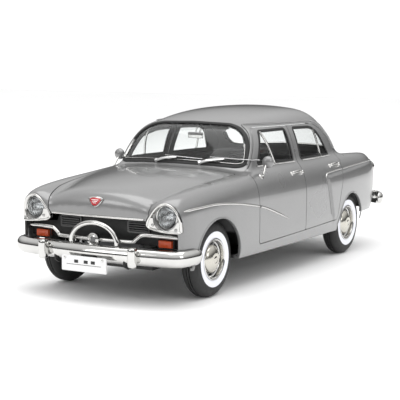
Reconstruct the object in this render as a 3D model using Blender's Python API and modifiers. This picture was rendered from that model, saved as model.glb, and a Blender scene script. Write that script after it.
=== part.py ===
"""Diecast collector car: a 1:18 four-door saloon with opening doors, bonnet and boot, and steered wheels.

Lengths are millimetres, turned into metres where a mesh is made. The nose points to -Y, the car's left side
to +X and the floor is Z = 0. The painted panels are cut from one smooth skin, which a field describes: it is
negative inside the body and zero on its surface.
"""

import math

import bmesh
import bpy
import numpy as np
from mathutils import Matrix, Vector

MM = 0.001

# Driving dimensions.
FRONT_AXLE_Y = -90.3
WHEELBASE = 157.2
REAR_AXLE_Y = FRONT_AXLE_Y + WHEELBASE
TYRE_RADIUS = 18.36
HUB_Z = TYRE_RADIUS
TYRE_FACE_X = 44.9
TYRE_BACK_X = 35.4
KINGPIN_X = 33.0
SILL_Z = 15.6
WALL = 1.2
SHUT_GAP = 0.42
GAP = 0.3
DOOR_SPLIT_Y = 3.8
LAMP_X, LAMP_Z = 37.2, 41.3
BUMPER_Z = 22.7
REAR_BUMPER_Z = 27.6
CHASSIS_Z = 15.0
WHEEL_CENTRE_X = 41.0
STEERING_CENTRE = (16.0, -31.0, 50.0)
STEERING_AXIS = (0.0, 0.8, 0.6)
TIE_ROD_ARM = 8.8
SCREW_PLACES = (-40.0, 40.0)

PARTS = "diecast_saloon"
CUTTERS = "cutters"


def new_scene():
    """Clears the scene and makes the two collections, one for the parts and one for what cuts them."""
    for obj in list(bpy.data.objects):
        bpy.data.objects.remove(obj, do_unlink=True)
    for name in (PARTS, CUTTERS):
        bpy.context.scene.collection.children.link(bpy.data.collections.new(name))


def material(name, colour, roughness, metallic=0.0, alpha=1.0):
    """A plain Principled material, made once for each name."""
    made = bpy.data.materials.get(name)
    if made:
        return made
    made = bpy.data.materials.new(name)
    made.use_nodes = True
    shader = made.node_tree.nodes["Principled BSDF"]
    shader.inputs["Base Color"].default_value = (*colour, 1.0)
    shader.inputs["Roughness"].default_value = roughness
    shader.inputs["Metallic"].default_value = metallic
    shader.inputs["Alpha"].default_value = alpha
    made.diffuse_color = (*colour, alpha)
    return made


def paint():
    return material("silver_paint", (0.36, 0.37, 0.37), 0.32, 0.55)


def chrome():
    return material("chrome", (0.75, 0.75, 0.74), 0.12, 1.0)


def steel():
    return material("steel", (0.50, 0.50, 0.49), 0.35, 1.0)


def black():
    return material("black_plastic", (0.02, 0.02, 0.022), 0.5)


def clear():
    return material("clear_plastic", (0.85, 0.88, 0.88), 0.05, 0.0, 0.35)


# ---------------------------------------------------------------- objects


def add(name, mesh, look, collection=PARTS):
    obj = bpy.data.objects.new(name, mesh)
    bpy.data.collections[collection].objects.link(obj)
    mesh.materials.clear()
    if look:
        mesh.materials.append(look)
    return obj


def mesh_from(edit, name, smooth=35.0):
    """Turns a bmesh in millimetres into a closed mesh in metres, its faces pointing out."""
    bmesh.ops.remove_doubles(edit, verts=edit.verts, dist=1e-4)
    bmesh.ops.recalc_face_normals(edit, faces=edit.faces)
    bmesh.ops.scale(edit, vec=(MM, MM, MM), verts=edit.verts)
    mesh = bpy.data.meshes.new(name)
    edit.to_mesh(mesh)
    edit.free()
    mesh.shade_smooth()
    mesh.set_sharp_from_angle(angle=math.radians(smooth))
    return mesh


def helper(obj):
    """Marks a cutter, and moves it out of the parts' collection."""
    for owner in list(obj.users_collection):
        owner.objects.unlink(obj)
    bpy.data.collections[CUTTERS].objects.link(obj)
    obj.hide_render = True
    obj.display_type = "WIRE"
    return obj


def boolean(obj, other, operation):
    change = obj.modifiers.new(operation.lower() + "_" + other.name, "BOOLEAN")
    change.operation = operation
    change.solver = "EXACT"
    change.object = other
    return obj


def cut(obj, *others):
    for other in others:
        boolean(obj, helper(other), "DIFFERENCE")
    return obj


def keep(obj, other):
    return boolean(obj, helper(other), "INTERSECT")


def join(obj, *others):
    for other in others:
        boolean(obj, helper(other), "UNION")
    return obj


def baked(obj, name, look):
    """A copy of an object as its modifiers leave it. The first object is removed."""
    bpy.context.view_layer.update()
    graph = bpy.context.evaluated_depsgraph_get()
    mesh = bpy.data.meshes.new_from_object(obj.evaluated_get(graph))
    mesh.transform(obj.matrix_world)
    bpy.data.objects.remove(obj, do_unlink=True)
    return add(name, mesh, look)


def box(name, centre, size, look=None, bevel=0.0):
    edit = bmesh.new()
    place = Matrix.Translation(centre) @ Matrix.Diagonal((*size, 1.0))
    bmesh.ops.create_cube(edit, size=1.0, matrix=place)
    if bevel:
        bmesh.ops.bevel(edit, geom=edit.edges, offset=bevel, segments=1, affect="EDGES", clamp_overlap=True)
    return add(name, mesh_from(edit, name), look)


def along(axis):
    """The turn that takes local Z to the given direction."""
    return Vector((0, 0, 1)).rotation_difference(Vector(axis)).to_matrix().to_4x4()


def rod(name, start, end, radius, look=None, sides=12):
    """A round bar from one point to another."""
    start, end = Vector(start), Vector(end)
    long = (end - start).length
    place = Matrix.Translation((start + end) / 2) @ along(end - start)
    edit = bmesh.new()
    bmesh.ops.create_cone(
        edit, cap_ends=True, segments=sides, radius1=radius, radius2=radius, depth=long, matrix=place
    )
    return add(name, mesh_from(edit, name), look)


def ball(name, centre, radii, look=None):
    edit = bmesh.new()
    place = Matrix.Translation(centre) @ Matrix.Diagonal((*radii, 1.0))
    bmesh.ops.create_uvsphere(edit, u_segments=10, v_segments=6, radius=1.0, matrix=place)
    return add(name, mesh_from(edit, name, 60), look)


PLANES = {
    "X": Matrix(((0, 0, 1, 0), (1, 0, 0, 0), (0, 1, 0, 0), (0, 0, 0, 1))),
    "Y": Matrix(((1, 0, 0, 0), (0, 0, -1, 0), (0, 1, 0, 0), (0, 0, 0, 1))),
    "Z": Matrix.Identity(4),
}


def plate(name, outline, axis, low, high, look=None, bevel=0.0):
    """A flat outline given thickness along X, Y or Z, from points in the other two axes."""
    curve = bpy.data.curves.new(name, "CURVE")
    curve.dimensions = "2D"
    curve.fill_mode = "BOTH"
    curve.extrude = (high - low) / 2
    line = curve.splines.new("POLY")
    line.points.add(len(outline) - 1)
    for point, (u, v) in zip(line.points, outline):
        point.co = (u, v, 0, 1)
    line.use_cyclic_u = True
    flat = bpy.data.objects.new(name, curve)
    bpy.data.collections[PARTS].objects.link(flat)
    bpy.context.view_layer.update()
    mesh = bpy.data.meshes.new_from_object(flat.evaluated_get(bpy.context.evaluated_depsgraph_get()))
    bpy.data.objects.remove(flat, do_unlink=True)
    middle = (low + high) / 2
    offset = {"X": (middle, 0, 0), "Y": (0, middle, 0), "Z": (0, 0, middle)}[axis]
    edit = bmesh.new()
    edit.from_mesh(mesh)
    bmesh.ops.transform(edit, matrix=Matrix.Translation(offset) @ PLANES[axis], verts=edit.verts)
    bmesh.ops.remove_doubles(edit, verts=edit.verts, dist=1e-4)
    if bevel:
        bmesh.ops.dissolve_limit(edit, angle_limit=0.01, verts=edit.verts, edges=edit.edges)
        bmesh.ops.bevel(edit, geom=edit.edges, offset=bevel, segments=1, affect="EDGES", clamp_overlap=True)
    return add(name, mesh_from(edit, name), look)


def tube(name, points, radius, look):
    """A wire or a rail through a few points."""
    curve = bpy.data.curves.new(name, "CURVE")
    curve.dimensions = "3D"
    curve.bevel_depth = radius
    curve.bevel_resolution = 1
    curve.use_fill_caps = True
    line = curve.splines.new("POLY")
    line.points.add(len(points) - 1)
    for point, place in zip(line.points, points):
        point.co = (*place, 1)
    wire = bpy.data.objects.new(name, curve)
    bpy.data.collections[PARTS].objects.link(wire)
    bpy.context.view_layer.update()
    mesh = bpy.data.meshes.new_from_object(wire.evaluated_get(bpy.context.evaluated_depsgraph_get()))
    bpy.data.objects.remove(wire, do_unlink=True)
    edit = bmesh.new()
    edit.from_mesh(mesh)
    return add(name, mesh_from(edit, name, 60), look)


def turned(name, profile, centre, axis, look, steps, closed=False):
    """A turned piece. The profile is (radius, height), from the top down its outer side."""
    edit = bmesh.new()
    corners = [edit.verts.new((radius, 0, height)) for radius, height in profile]
    for first, second in zip(corners, corners[1:] + corners[:1] if closed else corners[1:]):
        edit.edges.new((first, second))
    mesh = bpy.data.meshes.new(name)
    bmesh.ops.scale(edit, vec=(MM, MM, MM), verts=edit.verts)
    edit.to_mesh(mesh)
    edit.free()
    obj = add(name, mesh, look)
    screw = obj.modifiers.new("screw", "SCREW")
    screw.steps = screw.render_steps = steps
    screw.use_merge_vertices = True
    screw.merge_threshold = 1e-5
    screw.use_smooth_shade = True
    obj.matrix_world = Matrix.Translation(Vector(centre) * MM) @ along(axis)
    return obj


def mirrored(outline):
    """A whole outline from its left half, both of whose ends lie on the centre plane."""
    return list(outline) + [(-u, v) for u, v in reversed(outline[1:-1])]


def inset(outline, distance):
    """The outline moved inwards by a distance, corner by corner."""
    points = [Vector(point) for point in outline]
    area = sum(a.x * b.y - b.x * a.y for a, b in zip(points, points[1:] + points[:1]))
    side = 1 if area > 0 else -1
    moved = []
    for before, here, after in zip(points[-1:] + points[:-1], points, points[1:] + points[:1]):
        first, second = (here - before).normalized(), (after - here).normalized()
        bisector = Vector((-(first.y + second.y), first.x + second.x)).normalized() * side
        slope = bisector.dot(Vector((-first.y, first.x)) * side)
        moved.append(tuple(here + bisector * (distance / max(slope, 0.4))))
    return moved


def arc(centre, radius, start, end, count):
    """Points on a circle between two angles in degrees."""
    turns = np.radians(np.linspace(start, end, count))
    return [(centre[0] + radius * math.cos(t), centre[1] + radius * math.sin(t)) for t in turns]


# ---------------------------------------------------------------- the body's skin


def spline(*knots):
    """A natural cubic curve through (position, value) knots."""
    place = np.array([knot[0] for knot in knots], float)
    value = np.array([knot[1] for knot in knots], float)
    count, step = len(place), np.diff(place)
    rows, right = np.eye(count), np.zeros(count)
    for i in range(1, count - 1):
        rows[i, i - 1 : i + 2] = step[i - 1], 2 * (step[i - 1] + step[i]), step[i]
        right[i] = 6 * ((value[i + 1] - value[i]) / step[i] - (value[i] - value[i - 1]) / step[i - 1])
    bend = np.linalg.solve(rows, right)

    def at(x):
        x = np.clip(x, place[0], place[-1])
        i = np.clip(np.searchsorted(place, x) - 1, 0, count - 2)
        ahead, behind, h = place[i + 1] - x, x - place[i], step[i]
        curved = (bend[i] * ahead**3 + bend[i + 1] * behind**3) / (6 * h)
        first = (value[i] / h - bend[i] * h / 6) * ahead
        last = (value[i + 1] / h - bend[i + 1] * h / 6) * behind
        return curved + first + last

    return at


# Plan and height curves along the car. The wings run along the crest, and the deck lies between them.
half_width = spline((-127, 43.2), (-118, 45.4), (-105, 46.6), (-85, 47.2), (-50, 47.6), (0, 47.9),
                    (40, 47.5), (67, 46.6), (90, 45.0), (108, 42.6), (120, 39.5))
crest = spline((-127, 48.0), (-118, 50.0), (-105, 51.8), (-85, 53.4), (-60, 55.0), (-35, 56.5), (0, 57.6),
               (40, 58.2), (70, 58.3), (95, 57.4), (110, 56.2), (120, 54.5))
nose_line = spline((0, -124.5), (12, -124.2), (20, -123.6), (26, -123.1), (30, -123.4), (34, -124.4),
                   (38, -124.5), (43, -123.5), (50, -122.1))
crest_inset = spline((-127, 7.2), (-115, 8.2), (-90, 8.5), (-40, 7.5), (80, 7.5), (120, 6.5))
crest_radius = spline((-127, 9.0), (-110, 11.0), (-80, 14.0), (-40, 15.0), (60, 14.0), (90, 10.0), (120, 7.0))
deck = spline((-130, 46.5), (-122, 50.6), (-112, 53.2), (-95, 55.6), (-75, 57.3), (-50, 58.9), (0, 59.5),
              (60, 60.0), (76, 59.4), (90, 57.2), (104, 53.6), (114, 50.0), (122, 46.5))
deck_drop = spline((-130, 4.6), (-115, 4.6), (-95, 3.8), (-70, 3.0), (-45, 2.6), (70, 2.2), (90, 3.0),
                   (120, 3.0))
deck_half = spline((-130, 27.0), (-100, 31.0), (-50, 37.0), (70, 36.0), (120, 33.0))
roof = spline((-60, 70.0), (-42, 77.4), (-32, 80.6), (-15, 84.2), (5, 86.4), (25, 87.1), (42, 86.4),
              (56, 83.6), (68, 79.0), (80, 72.0))
glass_half = spline((-60, 37.8), (-40, 39.6), (-15, 41.0), (20, 41.4), (45, 40.4), (65, 38.2), (80, 36.0))


def blend_low(a, b, width):
    """The lower of two fields, with a fillet."""
    near = np.maximum(width - np.abs(a - b), 0) / width
    return np.minimum(a, b) - near**3 * width / 6


def blend_high(a, b, width):
    return -blend_low(-a, -b, width)


def lower_body(x, y, z):
    across = np.sqrt(x * x + 0.25)
    side = across - half_width(y)
    side = side + 0.011 * np.maximum(27 - z, 0) ** 2 + 0.016 * np.maximum(z - 41, 0) ** 2
    wing = crest(y) - (across - half_width(y) + crest_inset(y)) ** 2 / (2 * crest_radius(y))
    middle = deck(y) - deck_drop(y) * (across / deck_half(y)) ** 2.4
    top = z - blend_high(wing, middle, 2.2)
    nose = nose_line(across) - y
    nose = nose + 0.028 * np.maximum(z - 43, 0) ** 2 + 0.012 * np.maximum(30 - z, 0) ** 2
    tail = y - 121.0 + 0.0026 * x * x + 0.022 * (z - 43.5) ** 2
    solid = blend_high(blend_high(side, top, 7.0), nose, 6.0)
    return blend_high(blend_high(solid, tail, 6.0), SILL_Z - z, 1.2)


def cabin(x, y, z):
    up = np.maximum(z, 52.0) - 58.0
    side = np.abs(x) - glass_half(y) + 0.185 * up + 0.0065 * up * up
    top = z - roof(y) + 0.0030 * x * x
    front = 0.70 * up + 0.0052 * x * x - 55.4 - y
    back = y - 79.0 + up + 0.0060 * x * x
    solid = blend_high(blend_high(side, top, 13.0), 0.82 * front, 7.0)
    return np.maximum(blend_high(solid, 0.72 * back, 9.0), 46.0 - z)


def field(x, y, z):
    return blend_low(lower_body(x, y, z), cabin(x, y, z), 4.5)


def reach(origin, direction, far=130.0):
    """How far each ray runs from a point inside the body to its skin."""
    low, high = np.zeros(len(direction)), np.full(len(direction), far)
    for _ in range(40):
        middle = (low + high) / 2
        inside = field(*(origin + direction * middle[:, None]).T) < 0
        low, high = np.where(inside, middle, low), np.where(inside, high, middle)
    return low


def skin_point(origin, direction):
    origin, direction = np.array([origin], float), np.array([direction], float)
    return (origin + direction * reach(origin, direction)[:, None])[0]


def outward(point):
    """The skin's normal near a point."""
    step = np.eye(3) * 0.02
    slope = [field(*(point + move)) - field(*(point - move)) for move in step]
    return np.array(slope) / np.linalg.norm(slope)


SPINE_Z = 24.0
SPINE_FRONT, SPINE_BACK = -92.0, 80.0
RINGS = [-92, -77, -65, -58, -53, -48, -42, -34, -20, 0, 20, 38, 50, 60, 68, 74, 80]
NOSE_TILTS = [-66, -46, -30, -14]
TAIL_TILTS = [16, 34, 49, 66]


def ring(y, tilt, sides):
    """One section of the skin, evenly spaced from bottom centre to top centre up the left side, then back."""
    angles = np.radians(np.linspace(-90, 90, 241))
    flat, lean = math.cos(math.radians(tilt)), math.sin(math.radians(tilt))
    rays = np.stack([np.cos(angles) * flat, np.full(241, lean), np.sin(angles) * flat], 1)
    origin = np.array([0.0, y, SPINE_Z])
    points = origin + rays * reach(origin, rays)[:, None]
    run = np.concatenate([[0], np.cumsum(np.linalg.norm(np.diff(points, axis=0), axis=1))])
    even = np.linspace(0, run[-1], sides + 1)
    half = np.stack([np.interp(even, run, points[:, k]) for k in range(3)], 1)
    half[[0, -1], 0] = 0
    return np.concatenate([half, (half * [-1, 1, 1])[-2:0:-1]])


def loft(edit, rings, ends):
    """Joins sections of equal length, and closes both ends on a point."""
    rows = [[edit.verts.new(point) for point in points] for points in rings]
    for row, after in zip(rows, rows[1:]):
        for i in range(len(row)):
            edit.faces.new((row[i - 1], row[i], after[i], after[i - 1]))
    for row, end in ((rows[0], ends[0]), (rows[-1], ends[1])):
        pole = edit.verts.new(end)
        for i in range(len(row)):
            edit.faces.new((row[i - 1], row[i], pole))
    return rows


def skin(name, depth, thickness, sides=17):
    """A closed shell whose outer side lies at a depth under the body's surface."""
    places = [(SPINE_FRONT, tilt) for tilt in NOSE_TILTS] + [(y, 0) for y in RINGS]
    places += [(SPINE_BACK, tilt) for tilt in TAIL_TILTS]
    rings = [ring(y, tilt, sides) for y, tilt in places]
    poles = [
        skin_point((0, SPINE_FRONT, SPINE_Z), (0, -1, 0)),
        skin_point((0, SPINE_BACK, SPINE_Z), (0, 1, 0)),
    ]
    if depth:
        rings = [np.array([point - outward(point) * depth for point in row]) for row in rings]
        poles = [pole - outward(pole) * depth for pole in poles]
    edit = bmesh.new()
    loft(edit, rings, poles)
    bmesh.ops.triangulate(edit, faces=edit.faces)
    obj = add(name, mesh_from(edit, name), None, CUTTERS)
    solid = obj.modifiers.new("wall", "SOLIDIFY")
    solid.thickness = thickness * MM
    solid.offset = -1
    return baked(obj, name, None)


def panel(name, shell, look):
    """A copy of the shell, to be cut to one panel."""
    return add(name, shell.data.copy(), look)


# ---------------------------------------------------------------- outlines of the openings


DOOR_FRONT = [(-50.3, 40), (-50.0, 22), (-48.4, 20.3)]
DOOR_SILL_END = [(45.2, 22.4)]
DOOR_REAR = [(47.8, 30), (50.5, 38), (53.5, 46), (57.6, 55), (58.8, 60.5), (54, 68.2), (43.5, 75.4),
             (35, 77.8)]
DOOR_PILLAR = [(-28.5, 77.8), (-32, 76.0), (-45.0, 58.8), (-51.6, 55.6)]
FRONT_WINDOW = [(-38.6, 59.2), (-27.6, 75.2), (-26, 76.2), (-1, 76.4), (0.2, 75.4), (0.6, 60.2),
                (-0.4, 59.1)]
REAR_WINDOW = [(9.6, 59.1), (8.9, 60.3), (8.9, 75.4), (10.1, 76.4), (31, 76.0), (36.5, 74.4), (40.5, 71.4),
               (47.9, 60.4), (47, 59.2)]
SCREEN = mirrored([(0, 59.8), (20, 59.4), (33.4, 58.6), (36.2, 59.3), (37.1, 61.2), (36.7, 66), (35.1, 73),
                   (33.5, 76.2), (30.6, 78.0), (20, 79.4), (0, 80.0)])
BEHIND_SCREEN = [(-49.0, 55), (-35.2, 76), (-31.5, 80.4), (-10, 82), (-10, 50)]
BACKLIGHT = mirrored([(0, 62.0), (28, 61.3), (33.2, 62.2), (34.6, 65.5), (33.2, 73), (30.6, 76.8),
                      (26, 78.2), (0, 79.2)])
BONNET = mirrored([(0, -140), (26.4, -140), (27.6, -126), (30.4, -119), (33.0, -110), (34.5, -97),
                   (35.6, -80), (36.8, -64), (37.3, -57.6), (36.2, -55.6), (20, -58.8), (0, -60.4)])
BOOT = mirrored([(0, 80.6), (24, 81.2), (29.6, 83.6), (31, 88), (31, 135), (0, 135)])
BONNET_LIP_Z = 38.9
BOOT_LIP_Z = 33.0
BEZEL = [(27.3, 39.3), (30.2, 43.2), (33.0, 46.6), (36.8, 48.2), (40.6, 47.2), (43.4, 44.4), (44.8, 40.2),
         (44.9, 34.0), (38, 34.4), (29.0, 35.3), (27.0, 36.6)]
GRILLE = mirrored([(0, 40.2), (24, 40.0), (27.6, 40.0), (27.8, 38.4), (29.2, 36.2), (43.2, 35.0), (43.6, 33),
                   (43.6, 27), (42.6, 26.2), (0, 26.2)])


def on_side(outline, sign):
    return [(sign * u, v) for u, v in outline]


def door_outline(rear):
    """The front or the rear door's outline in the side view, out to the middle of its shut lines."""
    split = DOOR_SPLIT_Y + SHUT_GAP / 2 * (-1 if rear else 1)
    if rear:
        return [(split, 21.35), *DOOR_SILL_END, *DOOR_REAR, (split, 77.8)]
    return [(split, 21.35), (split, 77.8), *DOOR_PILLAR, *DOOR_FRONT]


def across(side, near=25.0, far=60.0):
    """The stretch of X that a prism spans on one side of the car."""
    return (near, far) if side > 0 else (-far, -near)


# ---------------------------------------------------------------- painted panels


def screen_prism(name, margin=0.0):
    """The windscreen's outline run back through the nose, and stopped short of the front pillars."""
    prism = plate(name, inset(SCREEN, margin), "Y", -80, -26)
    return cut(prism, plate(name + "_pillars", inset(BEHIND_SCREEN, -margin), "X", -60, 60))


def wheel_arches():
    """One bar across the car for each pair of wheels, round over the tyre and open downwards."""
    front = arc((FRONT_AXLE_Y + 1.0, 17.3), 20.6, 0, 180, 15)
    rear = arc((REAR_AXLE_Y + 0.3, 17.5), 18.5, 0, 180, 15)
    tall = [plate("front_arch", [*front, (front[-1][0], 5), (front[0][0], 5)], "X", -60, 60)]
    return tall + [plate("rear_arch", [*rear, (rear[-1][0], 5), (rear[0][0], 5)], "X", -60, 60)]


def body_shell(shell):
    body = panel("body_shell", shell, paint())
    opening = [(-48.4, 20.3), *DOOR_SILL_END, *DOOR_REAR, *DOOR_PILLAR, *DOOR_FRONT[:2]]
    cut(body, plate("bonnet_hole", BONNET, "Z", BONNET_LIP_Z - 0.6, 75))
    cut(body, plate("boot_hole", BOOT, "Z", BOOT_LIP_Z, 75))
    for side in (1, -1):
        cut(body, plate("door_hole", opening, "X", *across(side)))
        cut(body, plate("bezel_hole", on_side(BEZEL, side), "Y", -140, -114))
        cut(body, rod("lamp_hole", (side * 36.5, 105, 47), (side * 36.5, 130, 47), 4.0, sides=16))
    cut(body, screen_prism("screen_hole"))
    cut(body, plate("backlight_hole", BACKLIGHT, "Y", 56, 90))
    cut(body, plate("grille_hole", GRILLE, "Y", -140, -105))
    cut(body, *wheel_arches())
    cut(body, box("floor_hole", (0, -2, 12), (86, 230, 13)))
    cut(body, box("tail_hole", (0, 112, 12), (110, 56, 22)))
    cut(body, box("nose_hole", (0, -124, 12), (110, 28, 15)))
    return body


def bonnet(shell):
    edge = plate("bonnet_edge", inset(BONNET, SHUT_GAP), "Z", BONNET_LIP_Z, 75)
    lid = keep(panel("bonnet", shell, paint()), edge)
    for side in (1, -1):
        cut(lid, plate("bonnet_lamp_edge", inset(on_side(BEZEL, side), -SHUT_GAP), "Y", -140, -112))
    return lid


def boot_lid(shell):
    edge = plate("boot_edge", inset(BOOT, SHUT_GAP), "Z", BOOT_LIP_Z + SHUT_GAP, 75)
    return keep(panel("boot_lid", shell, paint()), edge)


def door(name, shell, side, rear):
    skin_part = panel(name, shell, paint())
    keep(skin_part, plate(name + "_edge", inset(door_outline(rear), SHUT_GAP), "X", *across(side)))
    window = REAR_WINDOW if rear else FRONT_WINDOW
    return cut(skin_part, plate(name + "_window", window, "X", *across(side, 20)))


def door_glass(name, shell, side, rear):
    window = inset(REAR_WINDOW if rear else FRONT_WINDOW, GAP)
    return keep(panel(name, shell, clear()), plate(name + "_edge", window, "X", *across(side)))


def painted_panels(shell):
    body_shell(shell)
    bonnet(shell)
    boot_lid(shell)
    for end, rear in (("front", False), ("rear", True)):
        for word, side in (("left", 1), ("right", -1)):
            door(f"{end}_{word}_door", shell, side, rear)


def glazing(shell):
    keep(panel("windscreen", shell, clear()), screen_prism("screen_edge", GAP))
    backlight = inset(BACKLIGHT, GAP)
    keep(panel("rear_window", shell, clear()), plate("backlight_edge", backlight, "Y", 56.4, 90))
    for end, rear in (("front", False), ("rear", True)):
        for word, side in (("left", 1), ("right", -1)):
            door_glass(f"{end}_{word}_door_glass", shell, side, rear)


# ---------------------------------------------------------------- trim on the doors


def side_x(y, z):
    """The skin's half-width at a place on the side."""
    return skin_point((0, y, z), (1, 0, 0))[0]


def door_handle(name, side, front_y, z):
    """A bar handle with its two feet, standing just off the skin."""
    length, lift = 11.0, 1.5
    back_y = front_y + length
    line = [(front_y, 0.75), (front_y + 0.8, lift), (back_y - 0.8, lift), (back_y, 0.75)]
    points = [(side * (side_x(y, z) + out), y, z) for y, out in line]
    return tube(name, points, 0.42, chrome())


def wing_mirror(name, side):
    """A round mirror head on a slim stalk at the door's front top corner."""
    head = ball(name, (side * 45.3, -37.4, 61.0), (2.5, 2.7, 2.3), paint())
    foot = skin_point((44.4, -42.6, 50), (0, 0, 1))
    low, high = (side * foot[0], foot[1], foot[2] + 0.45), (side * 45.2, -38.0, 60.2)
    return join(head, rod("stalk", low, high, 0.45))


def door_trim():
    for word, side in (("left", 1), ("right", -1)):
        door_handle(f"front_{word}_handle", side, -9.8, 52.4)
        door_handle(f"rear_{word}_handle", side, 39.0, 53.4)
        wing_mirror(f"{word}_wing_mirror", side)


# ---------------------------------------------------------------- nose


def bumper_ring(place, out, height, depth):
    """A bumper's D-shaped section: flat behind and rounded in front."""
    shape = [(0, -0.5), (0.4, -0.5), (0.8, -0.36), (1.0, -0.1), (1.0, 0.1), (0.8, 0.36), (0.4, 0.5), (0, 0.5)]
    turn = np.array([out[0], out[1], 0.0])
    return [np.asarray(place) + turn * (u * depth) + np.array([0, 0, v * height]) for u, v in shape]


def bumper(name, line, z, height, depth):
    """A bumper that follows a line in plan, its ends rounded off."""
    line = np.array(line)
    run = np.gradient(line, axis=0)
    outs = np.stack([run[:, 1], -run[:, 0]], 1) / np.linalg.norm(run, axis=1)[:, None]
    rings = []
    for i, (place, out) in enumerate(zip(line, outs)):
        from_end = min(i, len(line) - 1 - i)
        size = (0.55, 0.85)[from_end] if from_end < 2 else 1.0
        rings.append(bumper_ring((*place, z), out, height * size, depth * size))
    edit = bmesh.new()
    ends = [np.mean(rings[0], axis=0), np.mean(rings[-1], axis=0)]
    loft(edit, rings, ends)
    return add(name, mesh_from(edit, name, 50), chrome())


def front_bumper():
    """The front bumper bows across the nose and wraps round both corners, on two brackets."""
    half = [(0, -128.1), (6.3, -128.0), (13, -127.7), (19.7, -127.2), (26, -126.6), (31.4, -125.9),
            (37.5, -125.0), (42.0, -123.9), (44.6, -121.8), (45.9, -117.6), (46.5, -112.0), (46.6, -107.5)]
    line = [(-x, y) for x, y in half[:0:-1]] + half
    bar = bumper("front_bumper", line, BUMPER_Z, 8.2, 3.4)
    for side in (1, -1):
        join(bar, box("bracket", (side * 19.5, -121.5, 17.9), (3, 16, 1.6)))
        join(bar, box("bracket_riser", (side * 19.5, -128.4, 18.4), (3, 2.2, 2.6)))
    return bar


def overrider(name, side):
    return box(name, (side * 25.2, -132.3, BUMPER_Z + 0.2), (4.0, 3.6, 10.0), chrome(), 0.8)


def rear_bumper():
    """The rear bumper stands well off the tail, on two brackets that pass under the valance."""
    half = [(0, 130.9), (14, 130.7), (26, 129.8), (34, 127.8), (39.6, 124.2), (42.8, 120.0), (44.0, 116.0)]
    line = half[::-1] + [(-x, y) for x, y in half[1:]]
    bar = bumper("rear_bumper", line, REAR_BUMPER_Z, 7.9, 3.2)
    for side in (1, -1):
        join(bar, box("bracket", (side * 20, 119.5, 21.4), (3, 24, 1.6)))
        join(bar, box("bracket_riser", (side * 20, 130.6, 23.4), (3, 2.6, 5.6)))
    return bar


def number_plate():
    look = material("plate", (0.8, 0.8, 0.8), 0.4)
    blank = box("number_plate", (0, -133.7, 18.1), (25, 0.8, 7.2), look)
    return join(blank, box("plate_stud", (0, -132.6, 20.2), (8, 1.8, 2.4)))


def grille_bar():
    """The cranked bar across the grille opening, with the ringed medallion at its middle."""
    half = [(42.0, -119.6, 31.9), (40.2, -120.6, 32.1), (34, -122.2, 32.4), (26.2, -123.4, 32.4),
            (24.0, -123.7, 31.6), (21.6, -123.9, 29.8), (19.2, -124.0, 28.9), (0, -124.2, 28.7)]
    bar = tube("grille_bar", half + [(-x, y, z) for x, y, z in half[-2::-1]], 0.85, chrome())
    return join(bar, rod("medallion", (0, -124.8, 28.7), (0, -127.0, 28.7), 3.1, sides=18))


def grille_arch():
    """The arch that stands in front of the bar on two feet."""
    over = arc((0, 26.6), 1.0, 180, 0, 13)
    points = [(x * 12.9, -126.1, 27.0 + (z - 26.6) * 9.4) for x, z in over]
    return tube("grille_arch", points, 1.05, chrome())


def grille_panel():
    """The dark panel at the back of the grille opening, with a louvred block at each side."""
    back = mirrored([(0, 26.7), (41.8, 27), (41.8, 33.2), (28, 34.2), (25.6, 37.8), (0, 38.8)])
    dark = plate("grille_panel", back, "Y", -116.6, -114.9, black())
    for side in (1, -1):
        for step in range(4):
            join(dark, box("louvre", (side * 19.3, -116.9, 29.8 + 1.9 * step), (10.8, 1.6, 0.9)))
    return dark


def bezel(name, shell, side):
    """The chrome frame round a headlamp, with its lower plate. It carries on the skin's shape."""
    edge = plate(name + "_edge", inset(on_side(BEZEL, side), GAP), "Y", -140, -116)
    frame = keep(panel(name, shell, chrome()), edge)
    ahead, behind = (side * LAMP_X, -140, LAMP_Z), (side * LAMP_X, -105, LAMP_Z)
    return cut(frame, rod(name + "_hole", ahead, behind, 5.6, sides=24))


def headlamp(name, side):
    """A domed lens on its bowl, facing forwards."""
    profile = [(0, 10.0), (2.8, 9.5), (4.6, 8.1), (5.1, 7.0), (5.1, 5.6), (2.4, 0), (0, 0)]
    look = material("lamp_glass", (0.8, 0.84, 0.86), 0.08)
    return turned(name, profile, (side * LAMP_X, -113.5, LAMP_Z), (0, -1, 0), look, 14)


def turn_signal(name, side):
    look = material("signal", (0.75, 0.12, 0.04), 0.3)
    return box(name, (side * 35.0, -118.3, 28.4), (7.2, 2.8, 3.4), look, 0.4)


def bonnet_badge():
    """A plain shield on the bonnet's nose."""
    shield = mirrored([(0, -2.7), (1.8, -2.0), (3.6, 0.2), (4.2, 1.5), (2.6, 2.3), (0, 2.5)])
    badge = plate("bonnet_badge", shield, "Z", 0, 0.8, material("enamel", (0.45, 0.03, 0.03), 0.25))
    foot = skin_point((0, -100, 40), (0, -23.0, 5.9))
    out = Vector(outward(foot))
    up = (Vector((0, 0, 1)) - out * out.z).normalized()
    turn = Matrix((up.cross(out), up, out)).transposed().to_4x4()
    badge.matrix_world = Matrix.Translation((Vector(foot) + out * 0.45) * MM) @ turn
    return badge


def nose(bezel_shell):
    front_bumper()
    number_plate()
    grille_bar()
    grille_arch()
    grille_panel()
    bonnet_badge()
    for word, side in (("left", 1), ("right", -1)):
        overrider(f"{word}_overrider", side)
        bezel(f"{word}_headlamp_bezel", bezel_shell, side)
        headlamp(f"{word}_headlamp", side)
        turn_signal(f"{word}_turn_signal", side)


# ---------------------------------------------------------------- tail and windscreen


def tail_lamp(name, side):
    profile = [(0, 7.2), (2.2, 6.7), (3.4, 5.4), (3.5, 4.2), (3.5, 0), (0, 0)]
    look = material("lamp_red", (0.5, 0.02, 0.02), 0.2)
    return turned(name, profile, (side * 36.5, 112.6, 47), (0, 1, 0), look, 16)


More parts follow.
